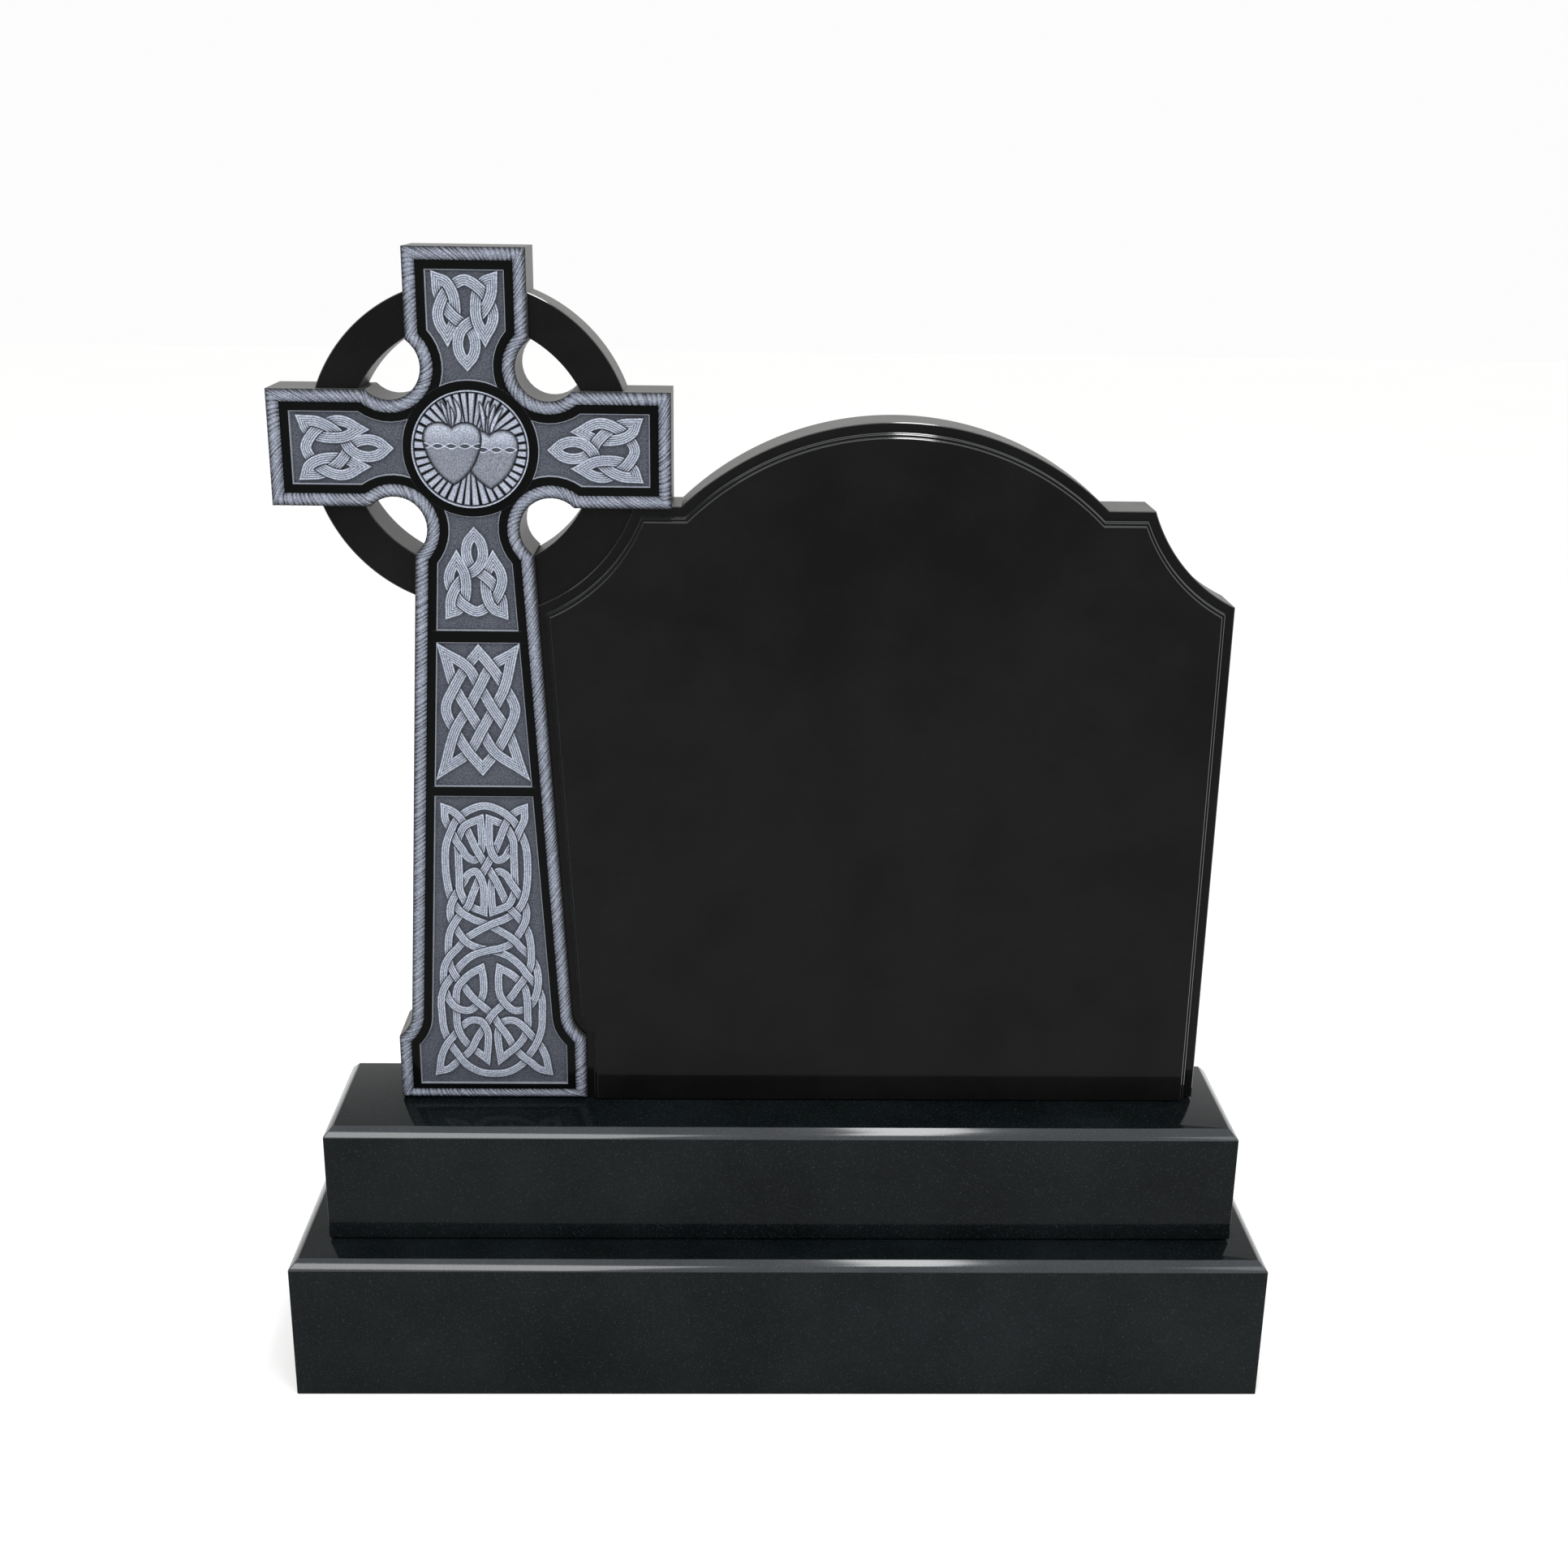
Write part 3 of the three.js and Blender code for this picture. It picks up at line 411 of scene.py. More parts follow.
def bar(name, top, bottom):
    """A polished band across the sunk panels, whose ends lap the channel's floor."""
    half_top = shaft_half(-top) - ROPE_WIDTH - CHANNEL_WIDTH + 4
    half_low = shaft_half(-bottom) - ROPE_WIDTH - CHANNEL_WIDTH + 4

    def outline(grow):
        upper = [[-half_top, top + grow], [half_top, top + grow]]
        lower = [[half_low, bottom - grow], [-half_low, bottom - grow]]
        return np.array(upper + lower) + [CROSS_X, CROSS_Z]

    return raised(name, outline, -0.5, 0.03)


def medallion_channel():
    return raised("medallion_channel", lambda grow: circle(MEDALLION_CHANNEL + grow), -0.4, 0.05)


# ---- rope border, cut like a twisted cord
ROPE_STEP = 0.6
ROPE_PITCH = 5.4
ROPE_SLANT = 1.0
ROPE_COLUMNS = 17
ROPE_TOP, ROPE_CROWN = 0.08, 3.6
ROPE_CUT_HALF, ROPE_CUT_DEPTH, ROPE_HATCH_DEPTH = 0.23, 1.25, 0.20


def rope():
    middle = cross_outline(ROPE_WIDTH / 2)
    following = np.roll(middle, -1, 0)
    lengths = np.hypot(*(following - middle).T)
    counts = np.maximum(1, np.ceil(lengths / ROPE_STEP).astype(int))
    which = np.repeat(np.arange(len(middle)), counts)
    share = np.concatenate([np.arange(n) / n for n in counts])
    along = np.concatenate([[0], np.cumsum(lengths)[:-1]])[which] + share * lengths[which]
    total = lengths.sum()
    strands = round(total / ROPE_PITCH)
    pitch = total / strands
    wander = rng.normal(0, 0.17, strands)
    weight = rng.uniform(0.45, 1.0, strands)

    def line_at(inset):
        line = cross_outline(inset)
        return line[which] + (np.roll(line, -1, 0)[which] - line[which]) * share[:, None]

    across = np.linspace(0.0, 1.0, ROPE_COLUMNS)
    insets = ROPE_WIDTH * (0.5 - 0.5 * np.cos(np.pi * across)) * 0.35 + ROPE_WIDTH * across * 0.65
    columns, tones = [], []
    for inset in insets:
        v = 2 * inset / ROPE_WIDTH - 1
        crown = ROPE_CROWN * abs(v) ** 2.3
        phase = (along - ROPE_SLANT * inset) / pitch
        nearest = np.floor(phase + 0.5)
        own = nearest.astype(int) % strands
        off = np.abs(phase - nearest - wander[own])
        cut = np.exp(-(off / ROPE_CUT_HALF) ** 2) * weight[own] * (0.72 + 0.28 * abs(v))
        hatch = 0.5 + 0.5 * np.sin(2 * np.pi * phase * 3 + 1.2 * np.sin(phase))
        fade = 1 - 0.3 * abs(v) ** 4
        depth = ROPE_TOP + crown + fade * (ROPE_CUT_DEPTH * cut + ROPE_HATCH_DEPTH * (1 - hatch))
        columns.append(at_depth(line_at(inset), np.minimum(depth, CHANNEL_DEPTH - 0.2)))
        # Painted shade on the flanks, heavier on the outer one, and in the hatch lines and the cuts
        flank_shade = 0.85 * abs(v) ** 1.8 if v < 0 else 0.45 * v ** 2.6
        tones.append(np.clip((0.72 + 0.28 * hatch) * (1 - 0.95 * cut) - flank_shade, 0.0, 1))
    # The foot of the rope is dark, painted shade where it meets the channel
    for inset in (ROPE_WIDTH - 0.05, 0.05):
        columns.append(at_depth(line_at(inset), CHANNEL_DEPTH + 0.9))
        tones.append(np.full(len(along), 0.2))
    points = np.stack(columns, 1).reshape(-1, 3)
    tone = np.stack(tones, 1).ravel()
    faces = ring_faces(len(along), len(columns), closed_rows=True)
    return build("rope_border", points, faces.tolist(), [ROPE], tone=tone, sharp=60.0)


# ---- knots
SPLINE_STEPS = 24
SHORTEST = 1e-6
NEIGHBOURS = 3


def spline(points, closed):
    """Centripetal curve through the points, as a dense line."""
    p = np.asarray(points, float)
    if closed:
        p = np.vstack([p[-1:], p, p[:2]])
    else:
        p = np.vstack([2 * p[:1] - p[1:2], p, 2 * p[-1:] - p[-2:-1]])
    out = []
    for k in range(len(p) - 3):
        a, b, c, d = p[k:k + 4]
        t0 = 0.0
        t1 = t0 + max(SHORTEST, np.hypot(*(b - a))) ** 0.5
        t2 = t1 + max(SHORTEST, np.hypot(*(c - b))) ** 0.5
        t3 = t2 + max(SHORTEST, np.hypot(*(d - c))) ** 0.5
        t = np.linspace(t1, t2, SPLINE_STEPS, endpoint=False)[:, None]
        ab = (t1 - t) / (t1 - t0) * a + (t - t0) / (t1 - t0) * b
        bc = (t2 - t) / (t2 - t1) * b + (t - t1) / (t2 - t1) * c
        cd = (t3 - t) / (t3 - t2) * c + (t - t2) / (t3 - t2) * d
        abc = (t2 - t) / (t2 - t0) * ab + (t - t0) / (t2 - t0) * bc
        bcd = (t3 - t) / (t3 - t1) * bc + (t - t1) / (t3 - t1) * cd
        out.append((t2 - t) / (t2 - t1) * abc + (t - t1) / (t2 - t1) * bcd)
    line = np.vstack(out)
    if not closed:
        line = np.vstack([line, p[-2:-1]])
    return line


def evenly(line, step, closed):
    """The line at even steps. An open line is given without its last point."""
    loop = np.vstack([line, line[:1]]) if closed else line
    length = np.concatenate([[0], np.cumsum(np.hypot(*np.diff(loop, axis=0).T))])
    parts = max(4, int(round(length[-1] / step)))
    at = np.linspace(0, length[-1], parts + 1)
    out = np.column_stack([np.interp(at, length, loop[:, 0]), np.interp(at, length, loop[:, 1])])
    return out[:-1]


def strand_line(controls, step):
    """Points along a closed strand and the places of its pointed corners."""
    corners = [i for i, c in enumerate(controls) if len(c) > 2 and c[2]]
    xz = [c[:2] for c in controls]
    if not corners:
        return evenly(spline(xz, True), step, True), []
    pieces, places, total = [], [], 0
    for k, start in enumerate(corners):
        end = corners[(k + 1) % len(corners)]
        span = (end - start) % len(xz) or len(xz)
        run = [xz[(start + i) % len(xz)] for i in range(span + 1)]
        part = evenly(spline(run, False), step, False)
        places.append(total)
        total += len(part)
        pieces.append(part)
    return np.vstack(pieces), places


def find_crossings(lines):
    """Where closed lines cross one another or themselves, with the sine of the angle between them."""
    starts, ends, owner, index = [], [], [], []
    for k, line in enumerate(lines):
        starts.append(line)
        ends.append(np.roll(line, -1, 0))
        owner.append(np.full(len(line), k))
        index.append(np.arange(len(line)))
    p, q = np.vstack(starts), np.vstack(ends)
    owner, index = np.concatenate(owner), np.concatenate(index)
    low, high = np.minimum(p, q), np.maximum(p, q)
    found = []
    for m in range(len(p) - 1):
        rest = slice(m + 1, None)
        near = np.all((low[rest] <= high[m]) & (high[rest] >= low[m]), 1).nonzero()[0] + m + 1
        for n in near:
            if owner[m] == owner[n]:
                apart = abs(index[m] - index[n])
                if apart < NEIGHBOURS or apart > len(lines[owner[m]]) - NEIGHBOURS:
                    continue
            r, s, g = q[m] - p[m], q[n] - p[n], p[n] - p[m]
            turn = r[0] * s[1] - r[1] * s[0]
            if abs(turn) < TINY:
                continue
            t = (g[0] * s[1] - g[1] * s[0]) / turn
            w = (g[0] * r[1] - g[1] * r[0]) / turn
            if 0 <= t < 1 and 0 <= w < 1:
                angle = abs(turn) / (np.hypot(*r) * np.hypot(*s))
                found.append(((owner[m], index[m] + t), (owner[n], index[n] + w), angle))
    return found


def weave(lines):
    """For every strand, the places where it passes over or under, alternating."""
    passes = [[] for _ in lines]
    for number, (first, second, angle) in enumerate(find_crossings(lines)):
        for side, (strand, at) in enumerate((first, second)):
            passes[strand].append({"id": number, "side": side, "at": at, "angle": angle})
    for entries in passes:
        entries.sort(key=lambda e: e["at"])
    first_over, settled = {}, set()
    while len(settled) < len(lines):
        waiting = [k for k in range(len(lines)) if k not in settled]
        known = [k for k in waiting if any(e["id"] in first_over for e in passes[k])]
        strand = known[0] if known else waiting[0]
        entries = passes[strand]
        anchor = next((i for i, e in enumerate(entries) if e["id"] in first_over), 0)
        over_at_anchor = True
        if entries and entries[anchor]["id"] in first_over:
            over_at_anchor = first_over[entries[anchor]["id"]] == (entries[anchor]["side"] == 0)
        for k, entry in enumerate(entries):
            entry["over"] = ((k - anchor) % 2 == 0) == over_at_anchor
            first_over.setdefault(entry["id"], entry["over"] == (entry["side"] == 0))
        settled.add(strand)
    return passes


# Relief of a strand: its top, its cut lines and edges, and how it lifts over or dips under another
STRAND_TOP = 4.4
LINE_HALF, LINE_DEPTH = 0.085, 0.75
EDGE_DROP, CROWN_DROP = 0.8, 0.30
LIFT, DIP, SAG = 0.55, 3.0, 0.55
COLUMNS = 31
# Foot of a strand: how far out, how far below the ground, and its tone, dark as painted shade
FOOT = ((0.15, -0.35, 0.0), (1.5, -0.08, 0.16), (1.5, 0.8, 0.16))
# A pointed corner: the least bend, the least cosine of its mitre, its reach in widths, and its spare room
CORNER_BEND, CORNER_COSINE, CORNER_REACH, CORNER_ROOM = 0.15, 0.30, 1.6, 9


def crossing_gap(rows, other, at, reach):
    """How far each point lies from the middle line of the strand that passes over it."""
    near = (int(at) + np.arange(-reach, reach + 1)) % len(other)
    path = other[near]
    path = np.vstack([path[:-1] + (path[1:] - path[:-1]) * t for t in (0.0, 0.25, 0.5, 0.75)])
    apart = rows[:, :, None, :] - path
    return np.hypot(apart[..., 0], apart[..., 1]).min(2)


def mitre(line, corners, width, step):
    """Sideways directions, and the room on each side before a ribbon meets itself at a pointed corner."""
    count = len(line)
    ahead, behind = np.roll(line, -1, 0) - line, line - np.roll(line, 1, 0)
    ahead /= np.hypot(*ahead.T)[:, None]
    behind /= np.hypot(*behind.T)[:, None]
    tangent = ahead + behind
    tangent /= np.hypot(*tangent.T)[:, None]
    normal = np.column_stack([-tangent[:, 1], tangent[:, 0]])
    room = np.full((count, 2), width)
    reach = int(width / step * CORNER_REACH)
    for corner in corners:
        a, b = behind[corner], ahead[corner]
        inward = b - a
        if np.hypot(*inward) < CORNER_BEND:
            continue
        axis = inward / np.hypot(*inward)
        flat = np.array([-a[1] - b[1], a[0] + b[0]])
        flat /= max(1e-9, np.hypot(*flat))
        normal[corner] = flat / max(CORNER_COSINE, abs(flat[0] * -a[1] + flat[1] * a[0]))
        side, sign = (0, 1.0) if a[0] * b[1] - a[1] * b[0] > 0 else (1, -1.0)
        for k in range(-reach, reach + 1):
            i = (corner + k) % count
            d = line[i] - line[corner]
            n = normal[i] * sign
            across_axis = n[0] * axis[1] - n[1] * axis[0]
            if k == 0 or abs(across_axis) < SHORTEST:
                continue
            t = -(d[0] * axis[1] - d[1] * axis[0]) / across_axis
            if 0 <= t < room[i, side]:
                room[i, side] = t
    room[corners] *= CORNER_ROOM
    return normal, room


def crossing_relief(plan, entries, lines, above, width, step):
    """How much deeper a strand lies where it passes over or under another, and how much painted shade
    darkens it there.
    """
    count = len(plan)
    lift, shade = np.zeros(plan.shape[:2]), np.zeros(plan.shape[:2])
    for entry in entries:
        half = 0.5 * width / max(0.40, entry["angle"])
        if entry["over"]:
            gap = np.abs(np.arange(count) - entry["at"])
            gap = np.minimum(gap, count - gap) * step
            lift -= LIFT * np.exp(-(gap / half) ** 2)[:, None]
            continue
        other, at = above[entry["id"]]
        span = int((half + 0.8 * width) / step)
        touched = (int(entry["at"]) + np.arange(-span, span + 1)) % count
        reach = int((half + 0.5 * width) / step)
        out = crossing_gap(plan[touched], lines[other], at, reach) - width / 2
        slide = np.clip((1.1 - out) / 1.7, 0, 1)
        sag = np.clip((6.0 - out) / 5.0, 0, 1)
        # Painted shade beside the strand that passes over, and a fainter one where this strand sags
        dark = np.clip((1.35 - out) / 0.7, 0, 1)
        lift[touched] += DIP * slide * slide * (3 - 2 * slide) + SAG * sag * sag
        shade[touched] = np.maximum(shade[touched], dark + 0.30 * sag)
    return lift, shade


def knot(name, strands, width, lines_cut, step, fine=COLUMNS):
    """Interlaced ribbons, each a closed solid with cut lines along it and a dark foot, painted shade where
    it meets the ground.
    """
    sampled = [strand_line(controls, step) for controls in strands]
    lines = [line for line, _ in sampled]
    passes = weave(lines)
    above = {e["id"]: (k, e["at"]) for k, entries in enumerate(passes) for e in entries if e["over"]}
    across = np.linspace(-1, 1, fine)
    cut = sum(np.exp(-((across - place) / LINE_HALF) ** 2) for place in lines_cut)
    body = STRAND_TOP + LINE_DEPTH * cut + EDGE_DROP * np.abs(across) ** 9 + CROWN_DROP * across ** 2
    # Painted shade in the cut lines and at the rounded edges of the strand
    light = 0.86 + 0.14 * np.abs(across) - 0.74 * cut - 0.50 * np.abs(across) ** 14
    total = fine + 2 * len(FOOT)
    points, faces, tones, offset = [], [], [], 0
    for (line, corners), entries in zip(sampled, passes):
        count = len(line)
        normal, room = mitre(line, corners, width, step)

        def beside(amount, side):
            wide = np.minimum(amount, room[:, side])
            return line + normal * ((1 if side == 0 else -1) * wide)[:, None]

        plan = np.stack([beside(abs(v) * width / 2, 0 if v > 0 else 1) for v in across], 1)
        lift, shade = crossing_relief(plan, entries, lines, above, width, step)
        rows, tone = np.zeros((count, total, 3)), np.zeros((count, total))
        rows[:, :fine, 0], rows[:, :fine, 2] = plan[:, :, 0], plan[:, :, 1]
        rows[:, :fine, 1] = SLAB_FRONT + body + lift
        tone[:, :fine] = np.clip(light - 0.95 * shade, 0, 1)
        # The foot is dark, painted shade where the strand meets the ground
        for k, (out, depth, dark) in enumerate(FOOT):
            for column, side in ((fine + k, 0), (total - 1 - k, 1)):
                rows[:, column] = at_depth(beside(width / 2 + out, side), GROUND_DEPTH + depth)
                tone[:, column] = dark
        points.append(rows.reshape(-1, 3))
        tones.append(tone.ravel())
        faces.append(ring_faces(count, total, closed_rows=True) + offset)
        offset += count * total
    faces = np.vstack(faces).tolist()
    return build(name, np.vstack(points), faces, [STRAND], tone=np.concatenate(tones), sharp=75.0)


# Control points of the knots. A third value marks a pointed corner
def arm_knot(place):
    side = [
        (16.5, 179), (25.5, 167.5), (31, 152), (29.5, 141), (21.3, 126.5, 1), (12.8, 143), (11.6, 162),
        (14.6, 176), (21.5, 186), (30.8, 189.5, 1), (30, 175), (25.5, 163), (19, 153.5), (9.5, 144.5),
        (0, 138.5), (-7.2, 129.5), (-9.8, 117), (-7, 105),
    ]
    loop = [(0, 188), *side, (0, 96.5, 1), *[(-p[0], *p[1:]) for p in reversed(side)]]
    return [[(*place(p[0], p[1]), *p[2:]) for p in loop]]


def plait_knot(place):
    edge, mid, inner = 0.8, 0.57, 0.285
    top, first, second, third, fourth, fifth, foot = -241, -257, -282, -310, -337, -364, -385
    bulge = (second + fourth) / 2
    falling = [
        (-edge, top, 1), (-inner, first), (0, second), (inner, third), (mid, fourth),
        (edge, foot, 1), (inner, fifth), (0, fourth), (-inner, third), (-mid, second),
    ]
    rising = [(-p[0], *p[1:]) for p in falling]
    middle = [
        (0, top + 2, 1), (-inner, first), (-mid, second), (-edge + 0.03, bulge), (-mid, fourth),
        (-inner, fifth), (0, foot + 1, 1), (inner, fifth), (mid, fourth), (edge - 0.03, bulge),
        (mid, second), (inner, first),
    ]

    def spread(p):
        half = shaft_half(-p[1]) - ROPE_WIDTH - CHANNEL_WIDTH
        return (*place(p[0] * half, p[1]), *p[2:])

    return [[spread(p) for p in strand] for strand in (falling, rising, middle)]


def ring_knot(place):
    upper_middle, lower_middle = -510, -711
    rim = [(20, 71.5), (35, 58.5), (42, 45), (48.5, 27), (50.5, 0)]
    rim_foot = [(48.5, 27), (45, 43), (36, 59), (21, 70)]
    spoke = [(41, 72), (31.5, 64.5), (25, 54), (18.5, 38), (10.5, 19)]
    loop = [
        (48, 60), (41.5, 46), (36, 33), (29, 21.5), (22.5, 11), (14, 7.5), (8.5, 14), (4.9, 26), (4.7, 45),
        (5.6, 61, 1), (15.7, 57), (24.7, 52), (30.5, 42.5), (34, 32), (34, 16),
    ]
    lower_loop = [
        (46, 11), (37.5, 6.5), (27, 6.5), (17, 16), (10.5, 28.5), (9.5, 50), (11.5, 64, 1), (24, 57),
        (34.5, 47.5), (42.5, 36), (44.7, 18), (44.7, 0),
    ]
    foot_loop = [
        (44.5, -14), (39, -31.5), (28.5, -45), (18, -54), (9, -62, 1), (6.5, -40), (6.5, -24), (13.5, -10),
        (27, -8), (39, -16.5), (48.7, -28.5), (59, -42), (66, -58),
    ]
    foot_corner = (69.5, -79, 1)
    foot_spoke = [(58, -76), (46.5, -66), (37, -58), (28, -48), (19.5, -31.5), (9, -15)]
    upper_corner = (48.5, 75, 1)
    lower_spoke = [(12, 12), (24, 24), (33, 37), (42, 50)]
    rising_link = [(50.5, -642), (51.5, -628), (51, -612), (48, -597), (41, -584), (33, -573)]
    crossing_link = [(19, -600), (30, -608), (39, -619), (50, -631), (57.5, -646), (59, -670), (53, -691)]
    arch_link = [(43, -555), (47, -568), (46, -582), (39, -597), (27, -613), (13, -620)]
    arch_side = [(21, -629.5), (36, -642), (46, -656), (57, -671), (63, -688), (63, -712), (61.5, -731)]
    foot_arc = [(54.7, -751), (46.5, -764.5), (34.5, -781), (16.5, -791.5)]

    def upper(points, flip=1):
        return [(p[0], upper_middle + flip * p[1], *p[2:]) for p in points]

    def lower(points):
        return [(p[0], lower_middle + p[1], *p[2:]) for p in points]

    def over(points):
        return [(-p[0], *p[1:]) for p in points]

    def back(points):
        return list(reversed(points))

    half = [
        *upper(rim), *upper(rim_foot, -1), (0, -589), *over(crossing_link),
        *over(lower([*lower_loop, *foot_loop, foot_corner, *foot_spoke])), (0, lower_middle),
        *lower(lower_spoke), *rising_link, *upper(spoke[2:], -1), (0, upper_middle),
        *over(upper([*back(spoke), upper_corner, *loop, (34, 0)])),
        *over(upper(back(loop[2:]), -1)), *over(arch_link), (0, -622.5), *arch_side, *foot_arc,
    ]
    strand = [(0, upper_middle + 78), *half, (0, -793.5), *back(over(half))]
    return [[(*place(p[0], p[1]), *p[2:]) for p in strand]]


# ---- medallion: a dish with rays, two hearts, their flames and twisted bands
def polygon_distance(px, pz, outline):
    """Signed distance to an outline, positive inside."""
    best = np.full(px.shape, 1e9)
    inside = np.zeros(px.shape, bool)
    for (ax, az), (bx, bz) in zip(outline, np.roll(outline, -1, 0)):
        ex, ez = bx - ax, bz - az
        wx, wz = px - ax, pz - az
        t = np.clip((wx * ex + wz * ez) / max(TINY, ex * ex + ez * ez), 0, 1)
        best = np.minimum(best, (wx - ex * t) ** 2 + (wz - ez * t) ** 2)
        crosses = ((az > pz) != (bz > pz))
        with np.errstate(divide="ignore", invalid="ignore"):
            at = ax + (pz - az) * ex / (ez if ez else TINY)
        inside ^= crosses & (px < at)
    return np.where(inside, 1, -1) * np.sqrt(best)


def bezier(points, steps):
    t = np.linspace(0, 1, steps + 1)[:, None]
    p = [np.array(q, float) for q in points]
    while len(p) > 1:
        p = [(1 - t) * a + t * b for a, b in zip(p[:-1], p[1:])]
    return p[0]


def heart_outline(middle, dip, tip, half, lobe):
    side = (middle + half, dip - 0.53 * half)
    lobes = [(middle + 0.3 * half, lobe + 5), (middle + 1.15 * half, lobe + 4)]
    over = bezier([(middle, dip), *lobes, side], 20)
    under = bezier([side, (middle + 0.8 * half, tip + 14), (middle, tip)], 12)
    points = np.vstack([over, under[1:]])
    left = (points[1:-1] * [-1, 1] + [2 * middle, 0])[::-1]
    return np.vstack([points, left])


DISH_FLOOR = 5.0
DISH_START, DISH_END, RIM_FOOT, RIM_START = 0.6, 64.2, 64.6, 65.2
DISH_ROWS, RIM_ROWS, DISH_COLUMNS = 128, 8, 640
RAY_COUNT, RAY_HEIGHT, RAY_START, RAY_END = 40, 2.3, 20, 64.3
TWIST_SPACING, TWIST_SWING = 15.5, 3.0
FLAME_STEPS = 40
LEFT_HEART = dict(middle=-20.5, dip=23.5, tip=-40, half=32, lobe=29)
RIGHT_HEART = dict(middle=22.0, dip=15.5, tip=-44.5, half=31.5, lobe=21)
# Each heart's swell, the height of its band, and where the twist of the band starts
HEARTS = ((RIGHT_HEART, 3.0, 0.0, 0.0), (LEFT_HEART, 3.9, 4.0, 0.55))
# Each flame's foot, bend and tip, and half its width
FLAMES = (
    ((-21.5, 26), (-25, 40), (-31.5, 53), 2.1),
    ((-20.5, 25), (-22, 38), (-24, 54), 1.7),
    ((-19.8, 23), (-17, 37), (-20.5, 47), 1.5),
    ((-19.6, 22), (-5, 36), (-16.5, 56), 2.6),
    ((16.5, 22), (16.5, 40), (12.5, 53), 2.2),
    ((20.5, 15), (20.5, 28), (23, 42), 2.2),
    ((21, 38), (20.5, 46), (23, 54), 1.7),
    ((22.5, 20), (24, 36), (29.5, 50), 2.3),
    ((24.5, 20), (27, 32), (37.5, 46.5), 2.3),
)


def ray_relief(r, a):
    """Height and tone of the rays and of the rim round them. The tone paints shade in the gaps between the
    rays, deeper outwards, and at the foot of the rim.
    """
    wave = a * RAY_COUNT / (2 * math.pi) + 0.10 * np.sin(3 * a + 0.7) + 0.07 * np.sin(11 * a)
    beam = np.abs(np.mod(wave, 1.0) - 0.5)
    body = np.clip((0.37 - beam) / 0.10, 0, 1)
    streak = 0.5 + 0.5 * np.sin(2 * np.pi * 3 * wave + 0.12 * r)
    reach = np.clip((r - RAY_START) / 4.0, 0, 1) * np.clip((RAY_END - r) / 0.9, 0, 1)
    height = RAY_HEIGHT * body ** 0.7 * reach
    outward = np.clip((r - 28) / 30, 0, 1)
    # Painted shade in the gaps between the rays, deeper outwards
    tone = 0.30 - 0.23 * outward + reach * body * (0.30 + 0.52 * outward) * (0.78 + 0.22 * streak)
    # The rim is dark at its foot, painted shade
    rim = np.clip((r - RIM_START) / 0.6, 0, 1)
    height = np.where(rim > 0, 0.4 + 3.2 * rim, height)
    tone = np.where(rim > 0, 0.1 + 0.75 * rim, tone)
    return height, tone


def flame_relief(x, z, height, tone, foot, bend, tip, wide):
    """The dish with one leaf-shaped flame and painted shade: darker edges on the flame, a dark line round it
    and a darker margin beyond.
    """
    line = bezier([foot, bend, tip], FLAME_STEPS)
    gaps = np.hypot(x[..., None] - line[:, 0], z[..., None] - line[:, 1])
    gap = gaps.min(-1)
    leaf = wide * np.sin(np.pi * (0.10 + 0.88 * np.linspace(0, 1, len(line)))) ** 0.7
    leaf = leaf[gaps.argmin(-1)]
    share = np.clip(1 - gap / leaf, -9, 1)
    on = share > 0
    outline = (~on) & (gap < leaf + 0.9)
    # Painted shade: a darker margin round the flame and a dark line at its edge
    tone = np.where(gap < leaf + 2.6, tone * 0.55, tone)
    height = np.where(on, 1.4 + 2.0 * np.sqrt(np.clip(share, 0, 1)), np.where(outline, 0.5, height))
    tone = np.where(on, 0.35 + 0.55 * np.clip(share * 2.2, 0, 1), np.where(outline, 0.04, tone))
    return height, tone


def heart_relief(x, z, height, tone, heart, swell, band_z, start):
    """The dish with one domed heart and a band of two twisted cords across it. Painted light and shade: the
    heart is lighter towards its top and dark at its edge, with dark eyes between the cords, dark lines along
    them and a dark line round the heart.
    """
    d = polygon_distance(x, z, heart_outline(**heart))
    inside = d > 0
    rise = np.clip(d / 15, 0, 1)
    dome = 0.4 + swell * np.sqrt(np.clip(1 - (1 - rise) ** 2, 0, 1))
    # Painted light: lighter towards the top of the heart, dark near its edge
    crown = np.clip((z - heart["dip"] + 22) / 22, 0, 1)
    shade = 0.12 + np.clip(d / 3.5, 0, 1) * (0.30 + 0.42 * crown)
    shade *= 0.93 + 0.07 * np.sin(2.1 * x + 0.9 * np.sin(0.35 * z))
    turn = np.pi * ((x - heart["middle"]) / TWIST_SPACING + start)
    swing = TWIST_SWING * np.sin(turn)
    slope = np.hypot(1, TWIST_SWING * np.pi / TWIST_SPACING * np.cos(turn))
    cords = [np.abs(z - band_z - sign * swing) / slope for sign in (1, -1)]
    # Painted shade in the eyes between the cords and along their edges
    eye = (np.abs(z - band_z) < np.abs(swing) - 0.6) & (np.abs(swing) > 1.3)
    dome = np.where(eye, dome - 0.7, dome)
    shade = np.where(eye, 0.10, shade)
    for gap in cords:
        shade = np.where((gap > 0.75) & (gap < 1.25), np.minimum(shade, 0.30), shade)
    for gap in cords:
        dome = dome + 0.8 * np.sqrt(np.clip(1 - gap / 0.95, 0, 1))
        shade = np.where(gap < 0.75, 1.0, shade)
    # Painted shade in a line round the heart
    near = (~inside) & (d > -1.7)
    height = np.where(inside, dome, np.where(near, np.minimum(height, 0.4), height))
    tone = np.where(inside, shade, np.where(near, 0.03, tone))
    return height, tone


